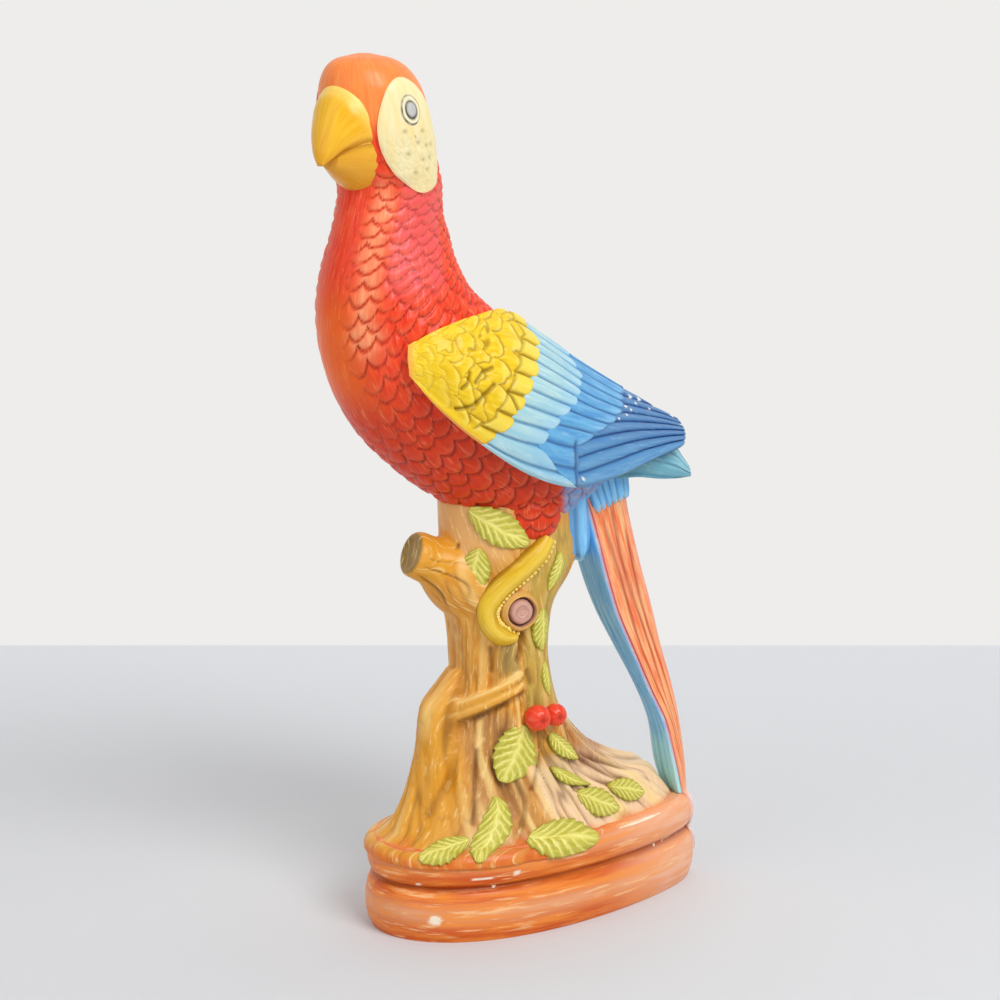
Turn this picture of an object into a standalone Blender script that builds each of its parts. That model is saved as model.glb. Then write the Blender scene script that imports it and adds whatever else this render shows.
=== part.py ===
"""A slip-cast ceramic macaw on a tree stump, as the separate castings that are luted together with slip.

Metres, +Z up. The bird looks along -Y and its left side is +X. The plane X = 0 halves the base, the stump,
the wings and the tail, and the head is turned towards +X. The stump's tables are measured from the plinth's
top and the bird's from its perch. A piece that seats on a carrier is cut by that carrier grown by one slip
seam, so it follows its seat and no two solids touch.
"""

import math

import bmesh
import bpy
import numpy as np
from mathutils import Vector

# Clay and slip
WALL = 0.0045
SEAM = 0.0003
LEAF_THICKNESS = 0.0018

# Plinth: an egg in plan, broad under the breast and narrow under the tail, in two rounded tiers
PLINTH_HALF_LENGTH = 0.0825
PLINTH_HALF_WIDTH = 0.039
PLINTH_TAPER = 0.30
PLINTH_HEIGHT = 0.041
LOWER_TIER_HEIGHT = 0.024
GROOVE_DEPTH = 0.0045
SHOULDER_INSET = 0.0065
FOOT_INSET = 0.0025
FOOT_RIM_WIDTH = 0.006
MOUTH_INSET = 0.020

# Stump: an oval trunk that flares to the plinth's edge, with the carved pieces on it
STUMP_HEIGHT = 0.130
SOCKET_REACH = 0.019
TRUNK_FRONT = 0.0410
TRUNK_BACK = 0.0035
TRUNK_HALF_WIDTH = 0.0215
FLARE_MARGIN = 0.0095
SIDE_FLARE_MARGIN = 0.0055
BARK_FLUTES = 7
FLUTE_DEPTH = 0.0010
STUB_RADIUS = 0.0100
STUB_REACH = 0.0225
STUB_SHARE = 0.915
STUB_RISE = math.radians(21)
ROOT_HALF_WIDTH = 0.017
KNOT_RADIUS = 0.0072
KNOT_REACH = 0.0045
TWIG_RADIUS = 0.0036
TOE_RADIUS = 0.0038
BERRY_RADIUS = 0.0058
BERRY_STEM_RADIUS = 0.0012

# Bird
HEAD_TURN = math.radians(24.5)
NECK_AXIS_Y = -0.070
FACE_HALF_HEIGHT = 0.0235
FACE_HALF_WIDTH = 0.0168
PATCH_THICKNESS = 0.0009
PATCH_SEAT = 0.00045
EYE_RADIUS = 0.0064
WING_THICKNESS = 0.0075
WING_TIP_THICKNESS = 0.0045
COVERT_LIFT = 0.0013
SECONDARY_LIFT = 0.0006
FEATHER_STEP = 0.0008
RUMP_FRONT = 0.0120
TAIL_FOOT_INSET = 0.0053
TAIL_FRONT_EDGE = 0.0018
TAIL_FEATHER_THICKNESS = 0.0022
TAIL_STEP = 0.0004
TAIL_RIB = 0.0009
RIB_FADE_HALF_WIDTH = 0.0095
TIP_RELIEF = 0.0013
TIP_THICKNESS_SHARE = 0.32
UPPER_COVERT_THICKNESS = 0.0014
UPPER_COVERT_HEIGHTS = (0.0310, 0.0130)
VENT_RADIUS = 0.008
VENT_Y = -0.018
# Bulge of a beak's mouth face as a share of its depth
MOUTH_BULGE = 0.15
# Body stations over which the head's turn builds up
TURNING_STATIONS = 4
# Centre and half sizes of the thigh's bulge in the bird's frame
THIGH_CENTRE = (0.0165, -0.0115, 0.0145)
THIGH_RADII = (0.0108, 0.0138, 0.0158)

PERCH_HEIGHT = PLINTH_HEIGHT + STUMP_HEIGHT

# Stump stations, foot to top: share of the stump's height, then how far the front, the back and the sides
# have flared from the trunk to the plinth's edge, and the share of the plinth's egg shape. The last one is
# up in the bird's underside.
STUMP_FLARE = [
    (0.000, 1.000, 0.960, 1.000, 1.00),
    (0.050, 0.800, 0.890, 0.790, 0.80),
    (0.100, 0.640, 0.825, 0.620, 0.65),
    (0.132, 0.560, 0.760, 0.550, 0.50),
    (0.162, 0.490, 0.590, 0.481, 0.40),
    (0.217, 0.340, 0.390, 0.360, 0.25),
    (0.280, 0.220, 0.240, 0.270, 0.10),
    (0.354, 0.110, 0.125, 0.180, 0.00),
    (0.432, 0.050, 0.060, 0.110, 0.00),
    (0.520, 0.000, 0.020, 0.040, 0.00),
    (0.600, 0.000, 0.000, 0.000, 0.00),
    (0.690, 0.030, 0.010, 0.000, 0.00),
    (0.770, 0.090, 0.040, 0.040, 0.00),
    (0.862, 0.130, 0.150, 0.111, 0.00),
    (0.920, 0.150, 0.200, 0.160, 0.00),
    (0.962, 0.160, 0.200, 0.185, 0.00),
    (1.000, 0.175, 0.180, 0.185, 0.00),
]

# Body stations, rump to neck: front point (y, z), back point (y, z), half width
BODY_STATIONS = [
    (0.0300, 0.0220, 0.0450, 0.0360, 0.0080),
    (0.0110, 0.0060, 0.0360, 0.0490, 0.0165),
    (-0.0080, 0.0010, 0.0230, 0.0640, 0.0265),
    (-0.0290, 0.0080, 0.0070, 0.0800, 0.0335),
    (-0.0480, 0.0205, -0.0100, 0.0920, 0.0352),
    (-0.0695, 0.0365, -0.0250, 0.1030, 0.0358),
    (-0.0875, 0.0560, -0.0350, 0.1120, 0.0352),
    (-0.0980, 0.0790, -0.0400, 0.1200, 0.0330),
    (-0.1015, 0.1000, -0.0430, 0.1280, 0.0295),
    (-0.1005, 0.1190, -0.0440, 0.1365, 0.0250),
    (-0.0965, 0.1360, -0.0455, 0.1440, 0.0213),
]

# Head stations: height, forward shift from the neck's axis, half length, half width
HEAD_STATIONS = [
    (0.1550, -0.0010, 0.0240, 0.0200),
    (0.1630, 0.0024, 0.0247, 0.0210),
    (0.1720, 0.0056, 0.0252, 0.0217),
    (0.1810, 0.0080, 0.0250, 0.0220),
    (0.1900, 0.0093, 0.0238, 0.0214),
    (0.1980, 0.0112, 0.0222, 0.0197),
    (0.2048, 0.0130, 0.0182, 0.0160),
    (0.2085, 0.0142, 0.0128, 0.0112),
    (0.2102, 0.0146, 0.0055, 0.0048),
]

# Beak stations in the turned head's own plane: outer point (forward, height), point on the mouth line, half
# width
UPPER_BEAK_STATIONS = [
    (0.0190, 0.1985, 0.0060, 0.1770, 0.0160),
    (0.0300, 0.2000, 0.0170, 0.1765, 0.0160),
    (0.0360, 0.1945, 0.0250, 0.1762, 0.0146),
    (0.0390, 0.1880, 0.0310, 0.1750, 0.0118),
    (0.0415, 0.1800, 0.0360, 0.1728, 0.0086),
    (0.0429, 0.1720, 0.0396, 0.1690, 0.0050),
    (0.0428, 0.1675, 0.0417, 0.1660, 0.0018),
]

LOWER_BEAK_STATIONS = [
    (0.0060, 0.1540, 0.0060, 0.1758, 0.0160),
    (0.0160, 0.1530, 0.0170, 0.1756, 0.0160),
    (0.0237, 0.1555, 0.0250, 0.1750, 0.0144),
    (0.0303, 0.1598, 0.0315, 0.1734, 0.0102),
    (0.0362, 0.1640, 0.0365, 0.1700, 0.0050),
]

# Wing stations, shoulder to tip: a point on the upper edge, the middle line and the lower edge
WING_STATIONS = [
    ((0.0325, -0.0765, 0.0920), (0.0345, -0.0780, 0.0870), (0.0350, -0.0770, 0.0810)),
    ((0.0345, -0.0634, 0.0990), (0.0395, -0.0660, 0.0860), (0.0395, -0.0670, 0.0670)),
    ((0.0270, -0.0410, 0.1030), (0.0405, -0.0525, 0.0840), (0.0415, -0.0480, 0.0505)),
    ((0.0155, -0.0235, 0.1025), (0.0388, -0.0345, 0.0795), (0.0405, -0.0240, 0.0350)),
    ((0.0045, -0.0015, 0.0905), (0.0335, -0.0095, 0.0690), (0.0365, 0.0000, 0.0270)),
    ((0.0030, 0.0200, 0.0765), (0.0265, 0.0155, 0.0575), (0.0305, 0.0240, 0.0280)),
    ((0.0025, 0.0450, 0.0615), (0.0175, 0.0420, 0.0485), (0.0225, 0.0460, 0.0320)),
    ((0.0030, 0.0720, 0.0460), (0.0090, 0.0720, 0.0415), (0.0140, 0.0680, 0.0360)),
]

# Tail stations, rump to foot: share of the perch's height, how far the front face has swung from the rump to
# the plinth's end, depth from there to the back ridge, half width of the face
TAIL_STATIONS = [
    (1.190, 0.000, 0.0320, 0.0100),
    (1.130, 0.046, 0.0300, 0.0104),
    (1.041, 0.136, 0.0262, 0.0110),
    (0.895, 0.242, 0.0257, 0.0115),
    (0.772, 0.357, 0.0245, 0.0102),
    (0.655, 0.509, 0.0200, 0.0084),
    (0.550, 0.650, 0.0165, 0.0064),
    (0.444, 0.778, 0.0127, 0.0075),
    (0.330, 0.845, 0.0116, 0.0090),
    (0.270, 0.885, 0.0100, 0.0083),
    (0.215, 0.923, 0.0086, 0.0078),
    (0.160, 0.951, 0.0080, 0.0078),
    (0.110, 0.975, 0.0074, 0.0062),
    (0.066, 1.000, 0.0060, 0.0032),
]

# Crossed wing tips, root to point: distance behind the origin, lower face, upper face, half width
LOBE_STATIONS = [
    (0.0340, 0.0235, 0.0500, 0.0130),
    (0.0460, 0.0232, 0.0480, 0.0125),
    (0.0580, 0.0212, 0.0430, 0.0110),
    (0.0680, 0.0200, 0.0365, 0.0085),
    (0.0745, 0.0194, 0.0290, 0.0055),
    (0.0792, 0.0190, 0.0235, 0.0025),
]

# Feather layers: where each ends along the wing at the upper edge, the middle and the lower edge
COVERT_ENDS = (0.486, 0.530, 0.286)
SECONDARY_ENDS = (0.714, 0.679, 0.579)
FEATHERS_ACROSS = 6
SCALLOP = 0.022
LAYER_GAP = 0.0035

# Centres of the cheek's patch and of the eye, as (height above the perch, turn in degrees from the beak)
PATCH_PLACE = (0.1775, 84.5)
EYE_PLACE = (0.1880, 83)

# Pieces laid on the stump, as (share of its height, turn in degrees from the front towards +X)
KNOT_PLACE = (0.7808, 87)
TOE_PATH = [
    (1.020, 105), (0.975, 95), (0.915, 78), (0.854, 63),
    (0.792, 55), (0.731, 59), (0.696, 71), (0.688, 85),
]
TWIG_PATH = [(0.4077, 12), (0.4462, 32), (0.5077, 64), (0.5692, 100)]
BERRY_PLACES = [(0.4077, 97), (0.4, 117)]
BERRY_STEM_PATH = [(0.3769, 107), (0.3577, 108), (0.3385, 108)]

# Leaves: name, share of the stump's height, turn, length, width, and the tip's turn from straight down
# towards the back
LEAVES = [
    ("leaf_under_belly", 1.0615, 66, 0.023, 0.019, 50),
    ("leaf_beside_stub", 0.9115, 43, 0.018, 0.010, -10),
    ("leaf_behind_foot", 0.9, 115, 0.017, 0.008, -8),
    ("leaf_behind_knot", 0.7, 118, 0.019, 0.011, 5),
    ("leaf_at_waist", 0.5231, 124, 0.016, 0.006, 0),
    ("leaf_under_berries", 0.2923, 74, 0.025, 0.018, -22),
    ("leaf_behind_berries", 0.2654, 120, 0.016, 0.010, 30),
    ("leaf_on_mound", 0.1538, 97, 0.016, 0.009, 35),
    ("leaf_low_1", 0.0769, 41, 0.018, 0.011, -60),
    ("leaf_low_2", 0.1, 57, 0.020, 0.011, 0),
    ("leaf_low_3", 0.0808, 84, 0.024, 0.015, 70),
    ("leaf_low_4", 0.0923, 106, 0.018, 0.011, -40),
    ("leaf_low_5", 0.0962, 124, 0.018, 0.010, 60),
    ("leaf_far_belly", 1.0615, -66, 0.023, 0.019, -50),
    ("leaf_far_knot", 0.7, -118, 0.019, 0.011, -5),
    ("leaf_far_side", 0.2769, -78, 0.025, 0.018, 22),
    ("leaf_far_low", 0.0808, -88, 0.024, 0.015, -70),
]


def catmull(rows, s):
    """The row of numbers at s, from 0 to 1, on a smooth curve through all rows."""
    rows = np.asarray(rows, float)
    last = len(rows) - 1
    at = min(max(s, 0.0), 1.0) * last
    i = min(int(at), last - 1)
    t = at - i
    p1, p2 = rows[i], rows[i + 1]
    p0 = rows[i - 1] if i > 0 else 2 * p1 - p2
    p3 = rows[i + 2] if i + 2 <= last else 2 * p2 - p1
    cubic = 3 * p1 - p0 - 3 * p2 + p3
    return 0.5 * (2 * p1 + (p2 - p0) * t + (2 * p0 - 5 * p1 + 4 * p2 - p3) * t * t + cubic * t**3)


def unit(vector):
    """The vector at length 1."""
    return vector / max(np.linalg.norm(vector), 1e-12)


def vector(x, y, z):
    """Three numbers as an array."""
    return np.array([x, y, z], float)


class Loft:
    """A skin through oval stations: centre, vector to the front, vector to the side, and egg share."""

    def __init__(self, stations, relief=None):
        self.rows = [np.concatenate([c, d, s, [egg]]) for c, d, s, egg in stations]
        self.relief = relief or (lambda s, angle: 0.0)

    def point(self, s, angle, grow=0.0):
        """The skin at s along the stations and at angle from the front, moved out by grow."""
        row = catmull(self.rows, s)
        more = grow + self.relief(s, angle)
        depth = unit(row[3:6]) * (np.linalg.norm(row[3:6]) + more)
        width = np.linalg.norm(row[6:9]) * (1 + row[9] * math.cos(angle)) + more
        return row[:3] + depth * math.cos(angle) + unit(row[6:9]) * width * math.sin(angle)

    def normal(self, s, angle):
        """The outward direction square to the skin."""
        step = 1e-3
        along = self.point(min(s + step, 1.0), angle) - self.point(max(s - step, 0.0), angle)
        around = self.point(s, angle + step) - self.point(s, angle - step)
        normal = unit(np.cross(along, around))
        outward = self.point(s, angle) - catmull(self.rows, s)[:3]
        return normal if normal @ outward > 0 else -normal

    def at(self, s, angle, lift=0.0):
        """A point lifted off the skin."""
        return self.point(s, angle) + self.normal(s, angle) * lift

    def share_at(self, height):
        """The s whose centre lies at a height, on stations that rise all the way."""
        low, high = 0.0, 1.0
        for _ in range(30):
            middle = (low + high) / 2
            if catmull(self.rows, middle)[2] < height:
                low = middle
            else:
                high = middle
        return (low + high) / 2

    def scale(self, s, angle):
        """Metres of skin for one unit of s and for one radian at a place."""
        step = 1e-3
        along = np.linalg.norm(self.point(s + step, angle) - self.point(s - step, angle)) / (2 * step)
        around = np.linalg.norm(self.point(s, angle + step) - self.point(s, angle - step)) / (2 * step)
        return along, around

    def rings(self, count, segments, grow=0.0, extend=0.0):
        """Rings of points along the skin, with the end rings pushed outwards by extend."""
        turns = [2 * math.pi * k / segments for k in range(segments)]
        rings = [[self.point(i / (count - 1), a, grow) for a in turns] for i in range(count)]
        first = unit(self.rows[0][:3] - self.rows[1][:3]) * extend
        last = unit(self.rows[-1][:3] - self.rows[-2][:3]) * extend
        rings[0] = [p + first for p in rings[0]]
        rings[-1] = [p + last for p in rings[-1]]
        return rings


def finished(mesh):
    """The mesh with no many-sided faces and with its normals outwards."""
    bmesh.ops.triangulate(mesh, faces=[f for f in mesh.faces if len(f.verts) > 4])
    bmesh.ops.recalc_face_normals(mesh, faces=mesh.faces)
    if mesh.calc_volume(signed=True) < 0:
        bmesh.ops.reverse_faces(mesh, faces=mesh.faces)
    return mesh


def skin(rings, loop=False):
    """A closed mesh through rings of points, capped at both ends or joined last to first."""
    mesh = bmesh.new()
    grid = [[mesh.verts.new(p) for p in ring] for ring in rings]
    count = len(grid[0])
    pairs = list(zip(grid, grid[1:])) + ([(grid[-1], grid[0])] if loop else [])
    for low, high in pairs:
        for k in range(count):
            n = (k + 1) % count
            mesh.faces.new((low[k], low[n], high[n]))
            mesh.faces.new((low[k], high[n], high[k]))
    if not loop:
        mesh.faces.new(list(reversed(grid[0])))
        mesh.faces.new(grid[-1])
    return finished(mesh)


def plate(top, under, rows, columns):
    """A closed sheet between two functions of (u, v), both from 0 to 1."""
    mesh = bmesh.new()
    sheets = []
    for surface in (top, under):
        across_sheet = [j / columns for j in range(columns + 1)]
        sheet = [[mesh.verts.new(surface(i / rows, v)) for v in across_sheet] for i in range(rows + 1)]
        for i in range(rows):
            for j in range(columns):
                mesh.faces.new((sheet[i][j], sheet[i + 1][j], sheet[i + 1][j + 1], sheet[i][j + 1]))
        sheets.append(sheet)
    rim = [(i, 0) for i in range(rows)] + [(rows, j) for j in range(columns)]
    rim += [(rows - i, columns) for i in range(rows)] + [(0, columns - j) for j in range(columns)]
    upper, lower = sheets
    for (i, j), (k, m) in zip(rim, rim[1:] + rim[:1]):
        mesh.faces.new((upper[i][j], upper[k][m], lower[k][m], lower[i][j]))
    return finished(mesh)


def pad(top, under, top_rings, under_rings, segments):
    """A closed round pad between two functions of (share of the radius, angle)."""
    mesh = bmesh.new()
    turns = [2 * math.pi * k / segments for k in range(segments)]
    rims = []
    for surface, rings in ((top, top_rings), (under, under_rings)):
        centre = mesh.verts.new(surface(0.0, 0.0))
        loops = [[mesh.verts.new(surface((i + 1) / rings, a)) for a in turns] for i in range(rings)]
        for k in range(segments):
            n = (k + 1) % segments
            mesh.faces.new((centre, loops[0][k], loops[0][n]))
            for low, high in zip(loops, loops[1:]):
                mesh.faces.new((low[k], high[k], high[n], low[n]))
        rims.append(loops[-1])
    for k in range(segments):
        n = (k + 1) % segments
        mesh.faces.new((rims[0][k], rims[0][n], rims[1][n], rims[1][k]))
    return finished(mesh)


def tube(path, radii, segments, grow=0.0):
    """A closed round rod along a path, with a radius at each of its points."""
    path = [np.asarray(p, float) for p in path]
    rings = []
    across = None
    for i, (centre, radius) in enumerate(zip(path, radii)):
        along = unit(path[min(i + 1, len(path) - 1)] - path[max(i - 1, 0)])
        across = unit(np.cross(along, vector(0.1, 0.2, 1.0))) if across is None else across
        across = unit(across - along * (across @ along))
        other = np.cross(along, across)
        if i in (0, len(path) - 1):
            centre = centre + along * grow * (1 if i else -1)
        turns = [2 * math.pi * k / segments for k in range(segments)]
        rings.append([centre + (across * math.cos(a) + other * math.sin(a)) * (radius + grow) for a in turns])
    return skin(rings)


def ball(centre, radii, segments, rows, grow=0.0):
    """A closed egg with its own radius along each axis."""
    mesh = bmesh.new()
    bmesh.ops.create_uvsphere(mesh, u_segments=segments, v_segments=rows, radius=1.0)
    for v in mesh.verts:
        v.co = [c + (r + grow) * share for c, r, share in zip(centre, radii, v.co)]
    return finished(mesh)


def finish(name, colour, roughness=0.38):
    """A painted and varnished bisque, made once for each name."""
    found = bpy.data.materials.get(name)
    if found:
        return found
    made = bpy.data.materials.new(name)
    made.use_nodes = True
    shader = made.node_tree.nodes["Principled BSDF"]
    shader.inputs["Base Color"].default_value = (*colour, 1.0)
    shader.inputs["Roughness"].default_value = roughness
    shader.inputs["Metallic"].default_value = 0.0
    made.diffuse_color = (*colour, 1.0)
    return made


def node(name, mesh, parent, paint=None):
    """A named object that holds the mesh, shaded smooth across its round parts."""
    data = bpy.data.meshes.new(name)
    mesh.to_mesh(data)
    mesh.free()
    data.polygons.foreach_set("use_smooth", [True] * len(data.polygons))
    data.set_sharp_from_angle(angle=math.radians(42))
    if paint:
        data.materials.append(paint)
    made = bpy.data.objects.new(name, data)
    bpy.context.scene.collection.objects.link(made)
    made.parent = parent
    return made


def cutter(name, mesh, parent):
    """A helper that only takes its space out of other pieces."""
    made = node(name, mesh, parent)
    made.hide_render = True
    made.display_type = "WIRE"
    return made


def cut(piece, *cutters):
    """Takes each cutter's space out of the piece."""
    for helper in cutters:
        boolean = piece.modifiers.new("seat on " + helper.name, "BOOLEAN")
        boolean.operation = "DIFFERENCE"
        boolean.solver = "EXACT"
        boolean.object = helper


def anchor(name, location, parent=None):
    """An empty that carries pieces."""
    made = bpy.data.objects.new(name, None)
    bpy.context.scene.collection.objects.link(made)
    made.location = location
    made.parent = parent
    return made


# Plinth


def plinth_profile():
    """The half section as (inset from the outline, height): out and up the tiers, then down the inside."""
    upper = PLINTH_HEIGHT - LOWER_TIER_HEIGHT
    under = PLINTH_HEIGHT - WALL
    inner = GROOVE_DEPTH + WALL
    return [
        (FOOT_INSET, 0.0),
        (0.0006, LOWER_TIER_HEIGHT * 0.22),
        (0.0, LOWER_TIER_HEIGHT * 0.50),
        (0.0008, LOWER_TIER_HEIGHT * 0.76),
        (GROOVE_DEPTH * 0.5, LOWER_TIER_HEIGHT * 0.91),
        (GROOVE_DEPTH, LOWER_TIER_HEIGHT),
        (GROOVE_DEPTH * 0.5, LOWER_TIER_HEIGHT + upper * 0.15),
        (0.0010, LOWER_TIER_HEIGHT + upper * 0.45),
        (0.0020, LOWER_TIER_HEIGHT + upper * 0.76),
        (SHOULDER_INSET * 0.62, PLINTH_HEIGHT - upper * 0.06),
        (SHOULDER_INSET, PLINTH_HEIGHT),
        (MOUTH_INSET, PLINTH_HEIGHT),
        (MOUTH_INSET, under),
        (inner, under),
        (inner, LOWER_TIER_HEIGHT * 0.4),
        (FOOT_INSET + FOOT_RIM_WIDTH, 0.0),
    ]


def plinth_rings(segments, grow=0.0, filled=False):
    """The rings of the plinth, or of its outside with the groove filled."""
    profile = plinth_profile()
    if filled:
        profile = profile[:4] + profile[7:11]
    rings = []
    for inset, height in profile:
        ring = []
        for k in range(segments):
            angle = 2 * math.pi * (k + 0.5) / segments
            half = PLINTH_HALF_WIDTH * (1 + PLINTH_TAPER * math.cos(angle)) - inset + grow
            length = PLINTH_HALF_LENGTH - inset + grow
            ring.append(vector(half * math.sin(angle), -length * math.cos(angle), height))
        rings.append(ring)
    if filled:
        rings[0] = [p - vector(0, 0, grow) for p in rings[0]]
        rings[-1] = [p + vector(0, 0, grow) for p in rings[-1]]
    return rings


# Stump


def bark(s, angle):
    """Long shallow flutes that fade out where the bird sits."""
    fade = min(1.0, 1.2 * s) * min(1.0, 2.2 * (1 - s))
    return FLUTE_DEPTH * fade * math.cos(BARK_FLUTES * angle + 5.0 * s)


def stump_stations():
    """The trunk's oval at each height, flared towards the plinth's edge."""
    edge = PLINTH_HALF_LENGTH - FLARE_MARGIN
    edge_half = PLINTH_HALF_WIDTH - SIDE_FLARE_MARGIN
    stations = []
    for height, front, back, side, egg in STUMP_FLARE:
        y_front = -(TRUNK_FRONT + front * (edge - TRUNK_FRONT))
        y_back = TRUNK_BACK + back * (edge - TRUNK_BACK)
        half = TRUNK_HALF_WIDTH + side * (edge_half - TRUNK_HALF_WIDTH)
        rise = height * STUMP_HEIGHT + (SOCKET_REACH if height == 1.0 else 0.0)
        centre = vector(0, (y_front + y_back) / 2, rise)
        depth = vector(0, (y_front - y_back) / 2, 0)
        stations.append((centre, depth, vector(half, 0, 0), egg * PLINTH_TAPER))
    return stations


STUMP = Loft(stump_stations(), bark)


def on_stump(share, degrees, lift=0.0):
    """A point above the stump's skin at a share of its height."""
    return STUMP.at(STUMP.share_at(share * STUMP_HEIGHT), math.radians(degrees), lift)


def leaf_mesh(share, degrees, length, width, heading):
    """A pointed leaf with a raised rib and a saw edge, moulded to the stump's skin."""
    s0, angle0 = STUMP.share_at(share * STUMP_HEIGHT), math.radians(degrees)
    along, around = STUMP.scale(s0, angle0)
    cos_h, sin_h = math.cos(math.radians(heading)), math.sin(math.radians(heading))
    rows = 6

    def place(u, v, lift):
        saw = 1.0 + 0.10 * (-1) ** round(u * rows)
        half = max(0.5 * width * saw * math.sin(math.pi * min(u * 0.92 + 0.05, 1.0)) ** 0.8, 0.0004)
        a, b = (u - 0.5) * length, (2 * v - 1) * half
        s = s0 + (-cos_h * a + sin_h * b) / along
        return STUMP.at(min(max(s, 0.001), 0.999), angle0 + (sin_h * a + cos_h * b) / around, lift)

    def top(u, v):
        crown = 1.0 - 0.6 * abs(2 * v - 1) ** 1.5
        return place(u, v, SEAM + LEAF_THICKNESS * crown * (0.55 + 0.45 * math.sin(math.pi * u)))

    return plate(top, lambda u, v: place(u, v, SEAM), rows, 4 if width > 0.012 else 2)


def toe_mesh(side, grow=0.0):
    """The toe band: a beaded rod over the stump that wraps round the knot."""
    count = 19
    path, radii = [], []
    for i in range(count):
        share, degrees = catmull(TOE_PATH, i / (count - 1))
        path.append(on_stump(share, side * degrees, TOE_RADIUS * 0.35))
        knuckle = 1.0 + 0.07 * (-1) ** i
        taper = min(1.0, 0.72 + 0.10 * i, 0.45 + 0.18 * (count - 1 - i))
        radii.append(TOE_RADIUS * knuckle * taper)
    return tube(path, radii, 8, grow)


def knot_rings(side, grow=0.0):
    """A sawn branch end: a collar with a recessed face."""
    share, degrees = KNOT_PLACE
    s, angle = STUMP.share_at(share * STUMP_HEIGHT), side * math.radians(degrees)
    centre, out = STUMP.point(s, angle), STUMP.normal(s, angle)
    across = unit(np.cross(out, vector(0, 0, 1)))
    up = np.cross(across, out)
    profile = [
        (KNOT_RADIUS * 1.35 + grow, -WALL),
        (KNOT_RADIUS * 1.20 + grow, KNOT_REACH * 0.35),
        (KNOT_RADIUS * 1.02 + grow, KNOT_REACH + grow),
    ]
    if not grow:
        profile += [(KNOT_RADIUS * 0.80, KNOT_REACH * 0.90), (KNOT_RADIUS * 0.66, KNOT_REACH * 0.45),
                    (KNOT_RADIUS * 0.52, KNOT_REACH * 0.62)]
    turns = [2 * math.pi * k / 14 for k in range(14)]
    spokes = [across * math.cos(turn) + up * math.sin(turn) for turn in turns]
    return [[centre + out * height + spoke * radius for spoke in spokes] for radius, height in profile]


def stub_rings(grow=0.0):
    """The cut branch at the stump's upper front, which swells to its sawn end."""
    root = on_stump(STUB_SHARE, 0, -WALL)
    axis = vector(0, -math.cos(STUB_RISE), math.sin(STUB_RISE))
    up = vector(0, math.sin(STUB_RISE), math.cos(STUB_RISE))
    shares = [
        (0.00, 1.75, -0.34), (0.25, 1.42, -0.22), (0.52, 1.10, -0.08), (0.80, 1.00, 0.0), (0.97, 0.84, 0.0),
    ]
    if not grow:
        shares += [(0.94, 0.60, 0.0), (0.95, 0.25, 0.0)]
    turns = [2 * math.pi * k / 18 for k in range(18)]
    rings = []
    for share, swell, droop in shares:
        reach = STUB_REACH * share + (grow if share > 0.9 else 0.0)
        centre = root + axis * reach + up * droop * STUB_RADIUS
        radius = STUB_RADIUS * swell + grow
        rings.append([centre + (up * math.cos(a) + vector(1, 0, 0) * math.sin(a)) * radius for a in turns])
    return rings


def root_rings(grow=0.0):
    """The buttress root at the lower front, from the plinth's edge up to its shoulder."""
    shares = [
        (0.00, 0.98, 1.00), (0.12, 0.70, 0.84), (0.27, 0.53, 0.70), (0.38, 0.50, 0.62),
        (0.44, 0.46, 0.56), (0.49, 0.26, 0.50), (0.55, 0.02, 0.36),
    ]
    turns = [2 * math.pi * k / 16 for k in range(16)]
    reach = PLINTH_HALF_LENGTH - FLARE_MARGIN - TRUNK_FRONT
    rings = []
    for height, front_share, width_share in shares:
        front = -(TRUNK_FRONT + front_share * reach + 0.0015)
        back = -TRUNK_FRONT + WALL
        half = ROOT_HALF_WIDTH * width_share + grow
        centre, depth = (front + back) / 2, (back - front) / 2 + grow
        z = height * STUMP_HEIGHT
        rings.append([vector(half * math.sin(a), centre - depth * math.cos(a), z) for a in turns])
    if grow:
        rings[-1] = [p + vector(0, 0, grow) for p in rings[-1]]
    return rings


def twig_mesh(side, grow=0.0):
    """A thin branch that leaves the root's shoulder and climbs the stump's side."""
    count = 9
    places = [catmull(TWIG_PATH, i / (count - 1)) for i in range(count)]
    path = [on_stump(share, side * degrees, TWIG_RADIUS * 0.3) for share, degrees in places]
    radii = [TWIG_RADIUS * (1.15 - 0.65 * i / (count - 1)) for i in range(count)]
    return tube(path, radii, 8, grow)


# Bird


def body_stations():
    """The breast's stations, then the head's, turned about the neck's axis."""
    stations = []
    plain = len(BODY_STATIONS) - TURNING_STATIONS
    for i, (y_front, z_front, y_back, z_back, half) in enumerate(BODY_STATIONS):
        turn = HEAD_TURN * max(0, i - plain) / TURNING_STATIONS
        length, rise = (y_back - y_front) / 2, (z_front - z_back) / 2
        centre = vector(0, (y_front + y_back) / 2, (z_front + z_back) / 2)
        depth = vector(math.sin(turn) * length, -math.cos(turn) * length, rise)
        stations.append((centre, depth, vector(math.cos(turn), math.sin(turn), 0) * half, 0.0))
    for height, forward, half_length, half_width in HEAD_STATIONS:
        ahead, aside = head_axes()
        centre = vector(0, NECK_AXIS_Y, height) + ahead * forward
        stations.append((centre, ahead * half_length, aside * half_width, 0.0))
    return stations


def head_axes():
    """The turned head's forward direction and its left."""
    ahead = vector(math.sin(HEAD_TURN), -math.cos(HEAD_TURN), 0)
    return ahead, vector(-ahead[1], ahead[0], 0)


BODY = Loft(body_stations())
BODY_RINGS = 28
BODY_SEGMENTS = 28
BEAK_SEGMENTS = 16
STUMP_RINGS = 23
STUMP_SEGMENTS = 28
PLINTH_SEGMENTS = 38


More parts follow.
